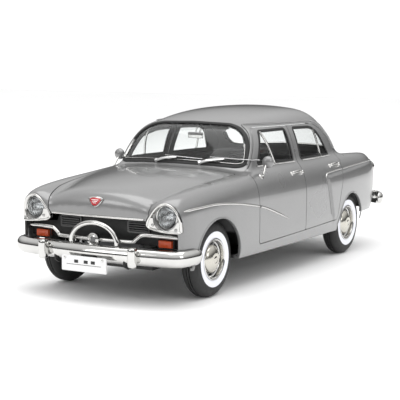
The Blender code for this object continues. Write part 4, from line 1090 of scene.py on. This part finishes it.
def shield(scale, low, high):
    """A pillow-topped shield between two heights above the skin."""
    rings = [(scale, low), (scale, high - 0.15), (scale * 0.94, high), (scale * 0.5, high + 0.12)]
    points, faces = [], []
    for size, lift in rings:
        points += [foot + badge_right * (u * size) + badge_up * (v * size) + away * lift for u, v in shield_edge]
    count = len(shield_edge)
    for i in range(len(rings) - 1):
        for k in range(count):
            m = (k + 1) % count
            faces.append((i * count + k, i * count + m, (i + 1) * count + m, (i + 1) * count + k))
    faces += [tuple(range(count)), tuple(range((len(rings) - 1) * count, len(rings) * count))]
    return points, faces


piece("badge_surround", *shield(1.0, 0.1, 0.75), chrome, "bonnet", "chrome", ("bonnet_badge",))
piece("badge_enamel", *shield(0.78, 0.4, 0.98), red_enamel, "bonnet", "enamel")
for i, (width, drop) in enumerate(((1.9, 0.7), (1.5, 0.0), (0.9, -0.7))):
    bar = [foot + badge_right * u + badge_up * drop + away * 1.1 for u in (-width, 0, width)]
    piece(f"badge_bar_{i + 1}", *swept(bar, round_bar(0.14, 6), away), chrome, "bonnet", "chrome")


# ---------------------------------------------------------------- boot lid
# A casting hinged under the rear window, with a plated handle and lamp housing over the plate's place.

lid = trimmed(skin_shell, keep=[prism(inset(BOOT_EDGE, SHUT_GAP), "Z", BOOT_LIP_Z + SHUT_GAP, 75)])
panel("boot_panel", lid, silver_paint, "boot_lid", ("boot_lid",))
handle = from_inside([(x, 90, 44.5) for x in np.linspace(-7, 7, 24)], (0, 1, 0), 0.6)
strip("boot_handle", handle, 1.9, 1.5, chrome, "boot_lid", "chrome")
lock = from_inside([(0, 90, 40.6)], (0, 1, 0))
piece("boot_lock", *turned([(0, 1.0), (0.8, 0.9), (1.1, 0.5), (1.1, -0.4)], lock[0][0], lock[1][0], 24), chrome,
      "boot_lid", "chrome")


# ---------------------------------------------------------------- doors
# Four castings, each with its acrylic window, rubber seal, plated trim, push-button handle and inner card with an arm
# rest.

card_shell = shell("card_shell", 1.3, 0.8)
SPEAR = [(-119.3, 44.1), (-113, 44.5), (-106.8, 44.7), (-92.8, 44.9), (-76.3, 43.7), (-63, 41.9), (-46.4, 39),
         (-30, 34.2), (-17, 29.9)]
spear_fine = curve_through(SPEAR, 200)


def tapered_strip(name, line, width, height, finish, body, taper_from, taper_to):
    """A strip that narrows to a point at either end."""
    points, normals = line
    count = len(points)
    share = np.linspace(0, 1, count)
    size = np.minimum(1.0, np.minimum((share + 1e-3) / max(taper_from, 1e-6), (1 - share + 1e-3) / max(taper_to, 1e-6)))
    size = 0.25 + 0.75 * size
    half = width / 2
    section = np.array([(-half, -0.3), (-half, 0.3 * height), (-half * 0.5, height * 0.85), (0, height),
                        (half * 0.5, height * 0.85), (half, 0.3 * height), (half, -0.3)])
    rings, faces = swept(points, section, normals)
    rings = rings.reshape(count, len(section), 3)
    rings = points[:, None] + (rings - points[:, None]) * size[:, None, None]
    return piece(name, rings.reshape(-1, 3), faces, finish, body, "chrome", (), 50)


def door_edge(rear):
    split = DOOR_SPLIT_Y + SHUT_GAP / 2 * (-1 if rear else 1)
    if rear:
        return eased([(split, 21.35), *DOOR_REAR, (split, 77.8)], 1.5)
    return eased([(split, 21.35), (split, 77.8), *DOOR_PILLAR, *DOOR_FRONT], 1.5)


def hand_grip(name, body, side, front_y, z):
    """A pull handle on two feet, with the push button at its back end."""
    out = [(0, 0.2), (0.5, 1.2), (2.5, 1.75), (5.5, 1.8), (7.6, 1.5), (8.4, 0.9), (8.8, 0.2)]
    line = curve_through([(front_y + y, z + 0.3 * math.sin(y / 3), lift) for y, lift in out], 28)
    points, normals = from_inside([(0, y, z_at) for y, z_at, _ in line], (1, 0, 0))
    points = (points + normals * line[:, 2:3]) * [side, 1, 1]
    piece(f"{name}_grip", *swept(points, round_bar(0.75, 12, 0.55), normals * [side, 1, 1]), chrome, body, "chrome",
          (name,))
    spot, out = side_line([(front_y + 10.6, z - 0.2)], side)
    button = [(0, 2.1), (0.7, 2.0), (0.95, 1.5), (0.95, 0.7), (1.35, 0.5), (1.45, -0.2)]
    piece(f"{name}_button", *turned(button, spot[0], out[0], 24), chrome, body, "chrome")
    spot, out = side_line([(front_y + 0.4, z)], side)
    plate = [(0, 0.45), (0.9, 0.4), (1.2, 0.1), (1.2, -0.3)]
    piece(f"{name}_foot", *turned(plate, spot[0], out[0], 24), chrome, body, "chrome")


for word, side in (("left", 1), ("right", -1)):
    for tag, rear in (("front", False), ("rear", True)):
        body = f"{tag}_{word}_door"
        window = REAR_WINDOW_EDGE if rear else FRONT_WINDOW_EDGE
        edge = door_edge(rear)
        skin = trimmed(skin_shell, keep=[prism(inset(edge, SHUT_GAP), "X", *span(side))],
                       cut=[prism(window, "X", *span(side, 20))])
        panel(f"{body}_panel", skin, silver_paint, body, (body,))
        pane = trimmed(pane_shell, keep=[prism(inset(window, GAP), "X", *span(side))])
        panel(f"{body}_pane", pane, clear_acrylic, body, (f"{body}_glass",))
        card = trimmed(card_shell, keep=[prism(inset(edge, 2.2), "X", *span(side))],
                       cut=[block((-60, -80, 57.6), (60, 80, 90))])
        panel(f"{body}_card", card, seat_grey, body)
        seal = side_line(even_loop(inset(window, 0.35), 160), side)
        strip(f"{body}_window_seal", seal, 1.5, 0.12, black_rubber, body, "black", True, 0.9)
        sill = [(9.9, 58.7), (28, 58.75), (47.4, 58.9)] if rear else [(-39.4, 58.6), (-20, 58.6), (0.2, 58.6)]
        strip(f"{body}_waist_strip", side_line(curve_through(sill, 50), side), 0.9, 0.7, chrome, body, "chrome")
        divider = [(36.0, 59.2), (34.4, 74.6)] if rear else [(-20.6, 59.2), (-26.0, 75.4)]
        points, normals = side_line(curve_through(divider, 30), side, -0.3)
        strip(f"{body}_vent_divider", (points, normals), 0.6 if rear else 1.1, 0.9, chrome, body, "chrome")
        hand_grip(f"{tag}_{word}_handle", body, side, *((39.4, 53.6) if rear else (-10.4, 53.0)))
        pull = [(y, z) for y, z in (((14, 50), (30, 50.4)) if rear else ((-30, 49.4), (-14, 49.8)))]
        points, normals = side_line(curve_through(pull, 16), side, -2.8)
        piece(f"{body}_arm_rest", *swept(points, round_bar(0.9, 12), normals), seat_grey, body, "trim")
    door_part = spear_fine[spear_fine[:, 0] > -49.6]
    wing_part = spear_fine[spear_fine[:, 0] < -50.9]
    tapered_strip(f"front_{word}_door_spear", side_line(door_part, side), 1.25, 0.7, chrome, f"front_{word}_door", 0, 0.3)
    tapered_strip(f"{word}_wing_spear", side_line(wing_part, side), 1.25, 0.7, chrome, "car_body", 0.06, 0)
    rear_door_rear = [(47.8, 30), (50.5, 38), (53.5, 46), (57.6, 55)]
    bead = curve_through(BEAD_BACK, 180)
    on_door = bead[:, 0] < np.interp(bead[:, 1], [z for _, z in rear_door_rear], [y for y, _ in rear_door_rear]) - 0.9
    behind = bead[:, 0] > np.interp(bead[:, 1], [z for _, z in rear_door_rear], [y for y, _ in rear_door_rear]) + 0.3
    strip(f"rear_{word}_door_bead", side_line(bead[on_door], side), 0.8, 0.45, chrome, f"rear_{word}_door", "chrome")
    strip(f"{word}_wing_bead", side_line(bead[behind], side), 0.8, 0.45, chrome, "car_body", "chrome")
    edge_line = side_line(curve_through(BEAD_UP, 50), side)
    strip(f"rear_{word}_door_edge_bead", edge_line, 0.7, 0.3, silver_paint, f"rear_{word}_door", "paint")

# The wing mirrors: painted round backs on bent plated stalks, with the glass let in behind.
HEAD = [(0, -2.4), (1.5, -2.25), (2.5, -1.6), (3.0, -0.6), (3.05, 0.3), (2.8, 0.75), (2.55, 0.75), (2.5, 0.4), (0, 0.4)]
GLASS = [(0, 0.55), (2.5, 0.5), (2.5, 0.3)]
for word, side in (("left", 1), ("right", -1)):
    body = f"front_{word}_door"
    centre = (side * 45.3, -37.4, 61.0)
    axis = (side * -0.15, 1, 0.02)
    piece(f"{word}_mirror_head", *turned(HEAD, centre, axis, 48), silver_paint, body, "paint", (f"{word}_wing_mirror",))
    piece(f"{word}_mirror_glass", *turned(GLASS, centre, axis, 48), chrome, body, "chrome")
    foot_at, foot_out = from_inside([(44.2, -42.6, 50)], (0, 0, 1))
    foot_at, foot_out = foot_at[0] * [side, 1, 1], foot_out[0] * [side, 1, 1]
    bend = curve_through([foot_at, foot_at + foot_out * 1.6, (side * 45.0, -39.6, 59.0), (side * 45.2, -38.4, 59.9)], 20)
    piece(f"{word}_mirror_stalk", *swept(bend, round_bar(0.5, 10), (1, 0, 0)), chrome, body, "chrome")
    base = [(0, 0.7), (0.9, 0.6), (1.5, 0.2), (1.6, -0.3)]
    piece(f"{word}_mirror_foot", *turned(base, foot_at, foot_out, 28), chrome, body, "chrome")


# ---------------------------------------------------------------- grille
# A black moulded panel closes the back of the opening, with a louvred vent at each side. In front stand a plated
# cranked bar with a plain ringed medallion, and a plated arch on two feet.

vent_grey = grained(
    mottled(material("vent_grey", (0.14,) * 3, 0.4, 0.3), 200, (0.10,) * 3, (0.18,) * 3, 0.34, 0.5), 1500, 0.00003
)
back_panel = eased(mirrored([(0, 26.7), (43.0, 27), (43.0, 33.6), (28, 34.6), (26.4, 38.8), (0, 39.2)]), 0.6)
points = [(x, y, z) for y in (-116.6, -114.9) for x, z in back_panel]
count = len(back_panel)
faces = [tuple(range(count)), tuple(range(count, 2 * count))]
faces += [(k, (k + 1) % count, (k + 1) % count + count, k + count) for k in range(count)]
piece("grille_back", points, faces, black_moulding, "car_body", "black", ("grille_panel",))
for word, side in (("left", 1), ("right", -1)):
    for step in range(4):
        z = 33.3 + 1.05 * step
        blade = [(side * x, -117.6, z) for x in np.linspace(14.0, 24.6, 12)]
        section = [(-0.9, -0.35), (0.9, 0.15), (0.9, 0.4), (-0.9, -0.1)]
        piece(f"{word}_vent_blade_{step + 1}", *swept(blade, section), vent_grey, "car_body", "black")
    rim = [(13.6, 32.4), (25.0, 32.4), (25.0, 37.4), (13.6, 37.4)]
    loop = [(side * x, -117.4, z) for x, z in eased(rim, 0.7)]
    piece(f"{word}_vent_frame", *swept(loop, round_bar(0.45, 8), (0, -1, 0), True), vent_grey, "car_body", "black")

BAR = [(42.0, -119.6, 31.9), (40.2, -120.6, 32.1), (34, -122.2, 32.4), (26.2, -123.4, 32.4), (24.0, -123.7, 31.6),
       (21.6, -123.9, 29.8), (19.2, -124.0, 28.9), (0, -124.2, 28.7)]
bar = curve_through(BAR + [(-x, y, z) for x, y, z in BAR[-2::-1]], 150)
piece("cranked_bar", *swept(bar, round_bar(0.95, 16)), chrome, "car_body", "chrome", ("grille_bar",))
medal_place = (0, -125.6, 28.7)
medal = [(0, 1.2), (1.2, 1.15), (2.0, 0.95), (2.2, 0.8), (2.4, 1.2), (2.75, 1.45), (3.15, 1.2), (3.25, 0.7),
         (3.1, -0.9), (0, -0.9)]
piece("medallion", *turned(medal, medal_place, (0, -1, 0), 56), chrome, "car_body", "chrome")
eye = [(0, 1.5), (1.0, 1.4), (1.5, 1.1)]
piece("medallion_centre", *turned(eye, medal_place, (0, -1, 0), 40), dark_disc, "car_body", "chrome")
over = [(12.9 * math.cos(t), -126.1, 27.4 + 9.2 * math.sin(t)) for t in np.linspace(math.pi, 0, 61)]
over = [(-12.9, -126.1, 25.8), (-12.9, -126.1, 26.5), *over, (12.9, -126.1, 26.5), (12.9, -126.1, 25.8)]
piece("plated_arch", *swept(over, round_bar(1.2, 18, 0.85), (0, 1, 0)), chrome, "car_body", "chrome",
      ("grille_arch",))
for word, side in (("left", 1), ("right", -1)):
    foot = [(side * 12.9, y, 25.9) for y in np.linspace(-127.2, -124.4, 6)]
    section = [(-1.6, -0.4), (1.6, -0.4), (1.6, 0.2), (-1.6, 0.2)]
    piece(f"{word}_arch_foot", *swept(foot, section), chrome, "car_body", "chrome")


# ---------------------------------------------------------------- headlamps and turn signals
# Each headlamp has a ribbed glass in a plated ring, sunk in a dull satin frame under the wing's end, the frame's darker
# grey being painted shade for the recess. A plated edge runs round the frame, and a polished plate with two screws
# closes its foot.

# Headlamp frame: satin silver, with its grey darkened as painted shade for the recess round the lamp.
satin_frame_with_painted_shade = mottled(material("lamp_frame_satin", (0.42,) * 3, 0.3, 0.9), 200, (0.34,) * 3, (0.46,) * 3, 0.24, 0.36)
lamp_bowl = mottled(material("lamp_bowl", (0.75,) * 3, 0.15, 1.0), 150, (0.65,) * 3, (0.8,) * 3, 0.1, 0.2)
FLUTE, start, end = group("fluted_glass", {"Ribs": 900.0, "Depth": 0.0002}, {"Normal": "NodeSocketVector"})
flute_place = put(FLUTE, "ShaderNodeTexCoord")
ribs = put(FLUTE, "ShaderNodeTexWave", Distortion=0.4)
ribs_deep = put(FLUTE, "ShaderNodeBump", Strength=0.8)
for a, b in (
    (flute_place.outputs["Object"], ribs.inputs["Vector"]),
    (start.outputs["Ribs"], ribs.inputs["Scale"]),
    (start.outputs["Depth"], ribs_deep.inputs["Distance"]),
    (ribs.outputs["Fac"], ribs_deep.inputs["Height"]),
    (ribs_deep.outputs["Normal"], end.inputs["Normal"]),
):
    FLUTE.links.new(a, b)
lamp_glass = use(
    material("lamp_glass", (0.95, 0.97, 0.98), 0.04, 0.0, Transmission_Weight=1.0, IOR=1.42),
    FLUTE, {"Normal": "Normal"}, Ribs=260.0, Depth=0.0001,
)
signal_red = use(
    mottled(material("signal_red", (0.7, 0.1, 0.03), 0.2, 0.0, Transmission_Weight=0.25), 300, (0.55, 0.05, 0.02),
            (0.8, 0.16, 0.05), 0.14, 0.26),
    FLUTE, {"Normal": "Normal"}, Ribs=420.0, Depth=0.0001,
)
bezel_shell = shell("bezel_shell", 0.0, 1.0)
deep_shell = shell("deep_shell", 0.9, 1.3)
FOOT_PLATE = [(27.3, 39.2), (28.6, 40.6), (31.2, 40.8), (31.3, 38.7), (33.1, 36.3), (36.0, 35.0), (39.4, 35.1),
              (42.2, 36.9), (43.4, 39.4), (44.5, 39.6), (44.6, 34.3), (38, 34.7), (29, 35.6), (27.3, 36.8)]
LENS = [(0, 10.0), (1.6, 9.85), (3.1, 9.3), (4.4, 8.3), (5.0, 7.3), (5.1, 6.7), (4.7, 6.5), (4.2, 7.6), (2.9, 8.6),
        (0, 9.3)]
BOWL = [(0, 1.6), (1.4, 1.9), (2.8, 3.0), (4.2, 5.0), (5.0, 6.9), (5.5, 6.9), (5.3, 4.6), (0, 0.4)]
RING = [(4.9, 7.3), (5.1, 8.0), (5.6, 8.1), (6.05, 7.4), (6.1, 6.2), (5.3, 6.0)]
for word, side in (("left", 1), ("right", -1)):
    name = f"{word}_headlamp"
    hole = [prism(circle((side * LAMP_X, LAMP_Z), 5.7), "Y", -140, -105)]
    dish = trimmed(deep_shell, keep=[prism(inset(on_side(BEZEL_EDGE, side), GAP), "Y", -140, -116)], cut=hole)
    panel(f"{name}_frame", dish, satin_frame_with_painted_shade, "car_body", (f"{name}_bezel",))
    hole = [prism(circle((side * LAMP_X, LAMP_Z), 6.1), "Y", -140, -105)]
    foot_plate = trimmed(bezel_shell, keep=[prism(eased(on_side(FOOT_PLATE, side), 0.6), "Y", -140, -114)], cut=hole)
    panel(f"{name}_foot_plate", foot_plate, chrome, "car_body")
    loop = even_loop(inset(on_side(BEZEL_EDGE, side), 0.55), 140)
    edge_line = from_inside([(x, -100, z) for x, z in loop], (0, -1, 0))
    strip(f"{name}_frame_edge", edge_line, 1.1, 0.55, chrome, "car_body", "chrome", True, 0.9)
    centre, axis = (side * LAMP_X, -113.5, LAMP_Z), (0, -1, 0)
    piece(f"{name}_glass", *turned(LENS, centre, axis, 56), lamp_glass, "car_body", "lens", (name,))
    piece(f"{name}_bowl", *turned(BOWL, centre, axis, 48), lamp_bowl, "car_body", "lens")
    piece(f"{name}_ring", *turned(RING, centre, axis, 64, True), chrome, "car_body", "chrome")
    bulb = [(0, 6.0), (0.8, 5.8), (1.2, 5.0), (1.2, 2.0)]
    piece(f"{name}_bulb", *turned(bulb, centre, axis, 24), lamp_bowl, "car_body", "lens")
    spots, outs = from_inside([(side * 31.0, -100, 37.6), (side * 42.9, -100, 35.9)], (0, -1, 0))
    for i, (spot, out) in enumerate(zip(spots, outs)):
        screw = [(0, 0.3), (0.25, 0.3), (0.3, 0.42), (0.62, 0.36), (0.75, 0.1), (0.75, -0.2)]
        piece(f"{name}_screw_{i + 1}", *turned(screw, spot, out, 20), plated_steel, "car_body", "steel")

    lens_box = eased([(-3.6, -1.7), (3.6, -1.7), (3.6, 1.7), (-3.6, 1.7)], 0.5)
    rings = [(1.0, -116.8), (1.0, -119.2), (0.93, -119.6), (0.5, -119.8)]
    points = [(side * 35.0 + u * size, y, 28.4 + v * size) for size, y in rings for u, v in lens_box]
    count = len(lens_box)
    faces = [tuple(range(count)), tuple(range(3 * count, 4 * count))]
    for i in range(3):
        for k in range(count):
            m = (k + 1) % count
            faces.append((i * count + k, i * count + m, (i + 1) * count + m, (i + 1) * count + k))
    piece(f"{word}_signal_lens", points, faces, signal_red, "car_body", "signal", (f"{word}_turn_signal",))
    loop = [(side * 35.0 + u * 1.16, -118.4, 28.4 + v * 1.3) for u, v in lens_box]
    piece(f"{word}_signal_frame", *swept(loop, round_bar(0.4, 8), (0, -1, 0), True), black_moulding, "car_body", "black")


# ---------------------------------------------------------------- bumpers and number plate
# Polished and plated bars with a rounded face, their ends wrapped round the wings, with overriders bolted over
# them. A plain white plate hangs under the front bar on two studs.

BUMPER_Z, REAR_BUMPER_Z = 22.7, 27.6
BAR_SECTION = [(0, -0.5), (0.25, -0.5), (0.5, -0.44), (0.74, -0.32), (0.91, -0.16), (0.97, 0.0), (0.96, 0.12),
               (0.86, 0.27), (0.68, 0.39), (0.45, 0.47), (0.2, 0.5), (0, 0.5)]


def bumper(name, line, z, height, depth, stands_for):
    """A bar that follows a line in plan. Its last centimetre at each end is rounded down."""
    run = np.gradient(line, axis=0)
    outs = np.stack([run[:, 1], -run[:, 0]], 1) / np.linalg.norm(run, axis=1)[:, None]
    length = np.concatenate([[0], np.cumsum(np.linalg.norm(np.diff(line, axis=0), axis=1))])
    near_end = np.minimum(length, length[-1] - length) / 6.0
    size = np.sqrt(np.clip(1 - (1 - np.clip(near_end, 0, 1)) ** 2, 0.03, 1))
    points = []
    for (x, y), (u, v), share in zip(line, outs, size):
        points += [(x + u * a * depth * share, y + v * a * depth * share, z + b * height * (0.3 + 0.7 * share))
                   for a, b in BAR_SECTION]
    count, faces = len(BAR_SECTION), []
    for i in range(len(line) - 1):
        for k in range(count):
            m = (k + 1) % count
            faces.append((i * count + k, i * count + m, (i + 1) * count + m, (i + 1) * count + k))
    faces += [tuple(range(count)), tuple(range((len(line) - 1) * count, len(line) * count))]
    return piece(name, points, faces, chrome, "car_body", "chrome", stands_for, 40)


FRONT_HALF = [(0, -128.1), (6.3, -128.0), (13, -127.7), (19.7, -127.2), (26, -126.6), (31.4, -125.9), (37.5, -125.0),
              (42.0, -123.9), (44.6, -121.8), (45.9, -117.6), (46.5, -112.0), (46.6, -107.5)]
plan = curve_through([(-x, y) for x, y in FRONT_HALF[:0:-1]] + FRONT_HALF, 160)
bumper("front_bumper_bar", plan, BUMPER_Z, 7.8, 3.5, ("front_bumper",))
REAR_HALF = [(0, 130.9), (14, 130.7), (26, 129.8), (34, 127.8), (39.6, 124.2), (42.8, 120.0), (44.0, 116.0)]
plan = curve_through(REAR_HALF[::-1] + [(-x, y) for x, y in REAR_HALF[1:]], 160)
bumper("rear_bumper_bar", plan, REAR_BUMPER_Z, 7.9, 3.2, ("rear_bumper",))
for tag, inner, outer, low, high in (("front", -112, -128.6, 17.9, 22), ("rear", 106, 131.4, 23.0, 27)):
    for word, side in (("left", 1), ("right", -1)):
        arm = [(side * 19.5, y, z) for y, z in ((inner, low), (outer * 0.985, low), (outer, low + 0.8), (outer, high))]
        section = [(-1.5, -0.4), (1.5, -0.4), (1.5, 0.4), (-1.5, 0.4)]
        rings = swept(arm, section, (1, 0, 0.01))
        piece(f"{word}_{tag}_bumper_bracket", *rings, black_moulding, "car_body", "black")


def overrider(name, x, y, z, facing, stands_for=()):
    """A waisted upright pad, pressed round the bar behind it."""
    rows = [(-4.6, 0.7, 1.2), (-4.2, 0.95, 1.9), (-2.4, 1.0, 2.3), (0, 0.9, 2.5), (2.2, 0.98, 2.7), (3.9, 0.95, 2.6),
            (4.5, 0.8, 1.9), (4.7, 0.5, 1.2)]
    shape = [(-2.2, -2.6), (-2.2, 0.1), (-1.9, 0.7), (-0.9, 1.0), (0.9, 1.0), (1.9, 0.7), (2.2, 0.1), (2.2, -2.6)]
    points = []
    for high, wide, deep in rows:
        points += [(x + u * wide, y + facing * (v * deep * 0.75 if v > 0 else v), z + high) for u, v in shape]
    faces = [tuple(range(8)), tuple(range(8 * len(rows) - 8, 8 * len(rows)))]
    for i in range(len(rows) - 1):
        for k in range(8):
            m = (k + 1) % 8
            faces.append((8 * i + k, 8 * i + m, 8 * i + 8 + m, 8 * i + 8 + k))
    pad = piece(name, points, faces, chrome, "car_body", "chrome", stands_for, 60)
    soft = pad.modifiers.new("rounding", "SUBSURF")
    soft.levels = soft.render_levels = 2
    return pad


for word, side in (("left", 1), ("right", -1)):
    overrider(f"{word}_overrider_pad", side * 25.2, -131.9, BUMPER_Z + 0.2, -1, (f"{word}_overrider",))
    overrider(f"{word}_rear_overrider", side * 22.5, 132.6, REAR_BUMPER_Z + 0.2, 1)

plate_white = mottled(material("plate_white", (0.78,) * 3, 0.35, 0.2), 300, (0.70,) * 3, (0.80,) * 3, 0.3, 0.42)
ink = mottled(material("black_ink", (0.015,) * 3, 0.4), 900, (0.01,) * 3, (0.02,) * 3, 0.35, 0.5)


def rounded_plate(name, centre, size, finish, body, slot, radius=0.5, stands_for=()):
    """An upright rectangular plate with rounded corners and a softened front edge."""
    x, y, z = centre
    wide, deep, high = size
    outline = eased([(-wide / 2, -high / 2), (wide / 2, -high / 2), (wide / 2, high / 2), (-wide / 2, high / 2)], radius)
    rows = [(deep / 2, 0), (-deep / 2 + 0.12, 0), (-deep / 2, 0.12)]
    points = []
    for lift, narrow in rows:
        points += [(x + u * (1 - 2 * narrow / wide), y + lift, z + v * (1 - 2 * narrow / high)) for u, v in outline]
    count = len(outline)
    faces = [tuple(range(count)), tuple(range(2 * count, 3 * count))]
    for i in range(2):
        for k in range(count):
            m = (k + 1) % count
            faces.append((i * count + k, i * count + m, (i + 1) * count + m, (i + 1) * count + k))
    return piece(name, points, faces, finish, body, slot, stands_for)


rounded_plate("plate_blank", (0, -133.7, 18.1), (25, 0.8, 7.2), plate_white, "car_body", "plate", 0.5, ("number_plate",))
rounded_plate("plate_line", (0, -134.12, 17.7), (19.6, 0.1, 0.34), ink, "car_body", "plate", 0.1)
for x in (-4.2, 1.2, 5.2):
    rounded_plate(f"plate_block_{int(x + 10)}", (x, -134.12, 19.2), (2.4, 0.1, 1.6), ink, "car_body", "plate", 0.2)
for x in (-10.6, 10.6):
    stud = [(0, 0.5), (0.5, 0.4), (0.65, 0.1), (0.65, -0.1)]
    name = f"plate_stud_{'left' if x > 0 else 'right'}"
    piece(name, *turned(stud, (x, -134.1, 20.6), (0, -1, 0), 20), chrome, "car_body", "steel")
rounded_plate("plate_hanger", (0, -132.6, 20.2), (8, 1.8, 2.4), black_moulding, "car_body", "black")
rounded_plate("rear_plate_blank", (0, 119.9, 29.0), (25, 0.8, 6.4), plate_white, "car_body", "plate")


# ---------------------------------------------------------------- tail lamps
# A ribbed red dome in a plated ring, pushed into the end of each rear wing.

lamp_red = use(
    mottled(material("tail_lamp_red", (0.45, 0.012, 0.012), 0.15, 0.0, Transmission_Weight=0.3), 400,
            (0.32, 0.006, 0.008), (0.55, 0.02, 0.02), 0.1, 0.2),
    FLUTE, {"Normal": "Normal"}, Ribs=500.0, Depth=0.0001,
)
DOME = [(0, 7.2), (1.0, 7.05), (2.2, 6.5), (3.1, 5.5), (3.45, 4.2), (3.5, 3.0), (3.5, 0), (0, 0)]
COLLAR = [(3.4, 4.6), (3.7, 4.9), (4.3, 4.4), (4.6, 3.2), (4.5, 1.6), (3.4, 1.2)]
for word, side in (("left", 1), ("right", -1)):
    centre, axis = (side * 36.5, 112.6, 47), (0, 1, 0)
    piece(f"{word}_tail_dome", *turned(DOME, centre, axis, 48), lamp_red, "car_body", "lamp_red", (f"{word}_tail_lamp",))
    piece(f"{word}_tail_collar", *turned(COLLAR, centre, axis, 56, True), chrome, "car_body", "chrome")


# ---------------------------------------------------------------- wipers
# Stainless arms and blades parked along the foot of the windscreen: a broad arm from the spindle, then the thin
# blade with its rubber against the glass.

bright_steel = mottled(material("bright_steel", (0.72,) * 3, 0.2, 1.0), 300, (0.62,) * 3, (0.78,) * 3, 0.14, 0.26)
for word, pivot_x in (("left", 14.6), ("right", -11.0)):
    rise = [(0, 59.6, 0.9), (4, 60.3, 1.9), (8, 61.0, 1.9), (12, 61.6, 1.5)]
    rise = curve_through(rise, 24)
    base, base_out = from_inside([(pivot_x + u, -40, max(z, 59.9)) for u, z, _ in rise], (0, -1, 0))
    path = base + base_out * rise[:, 2:3]
    width = np.linspace(1.0, 0.42, len(path))
    section = np.array([(-1, -0.25), (-0.8, 0.3), (0, 0.45), (0.8, 0.3), (1, -0.25)])
    rings, faces = swept(path, section, base_out)
    rings = rings.reshape(len(path), 5, 3)
    rings = path[:, None] + (rings - path[:, None]) * width[:, None, None]
    piece(f"{word}_wiper_arm", rings.reshape(-1, 3), faces, bright_steel, "car_body", "steel", (f"{word}_wiper",))
    blade = [(pivot_x + u, -40, 62.2 - 0.05 * (u - 13)) for u in np.linspace(4.5, 26.5, 30)]
    line = from_inside(blade, (0, -1, 0), 0.9)
    strip(f"{word}_wiper_blade", line, 0.5, 0.45, bright_steel, "car_body", "steel", False, 0.2)
    line = from_inside(blade, (0, -1, 0), 0.4)
    strip(f"{word}_wiper_rubber", line, 0.3, 0.3, black_rubber, "car_body", "black", False, 0.3)
    spindle = [(0, 1.5), (0.8, 1.4), (1.1, 0.9), (1.3, 0.2), (1.4, -0.4)]
    piece(f"{word}_wiper_spindle", *turned(spindle, base[0], base_out[0], 24), bright_steel, "car_body", "steel")


# ---------------------------------------------------------------- finish
# The working shells go.

for source in (skin_shell, pane_shell, card_shell, bezel_shell, deep_shell):
    bpy.data.objects.remove(source, do_unlink=True)
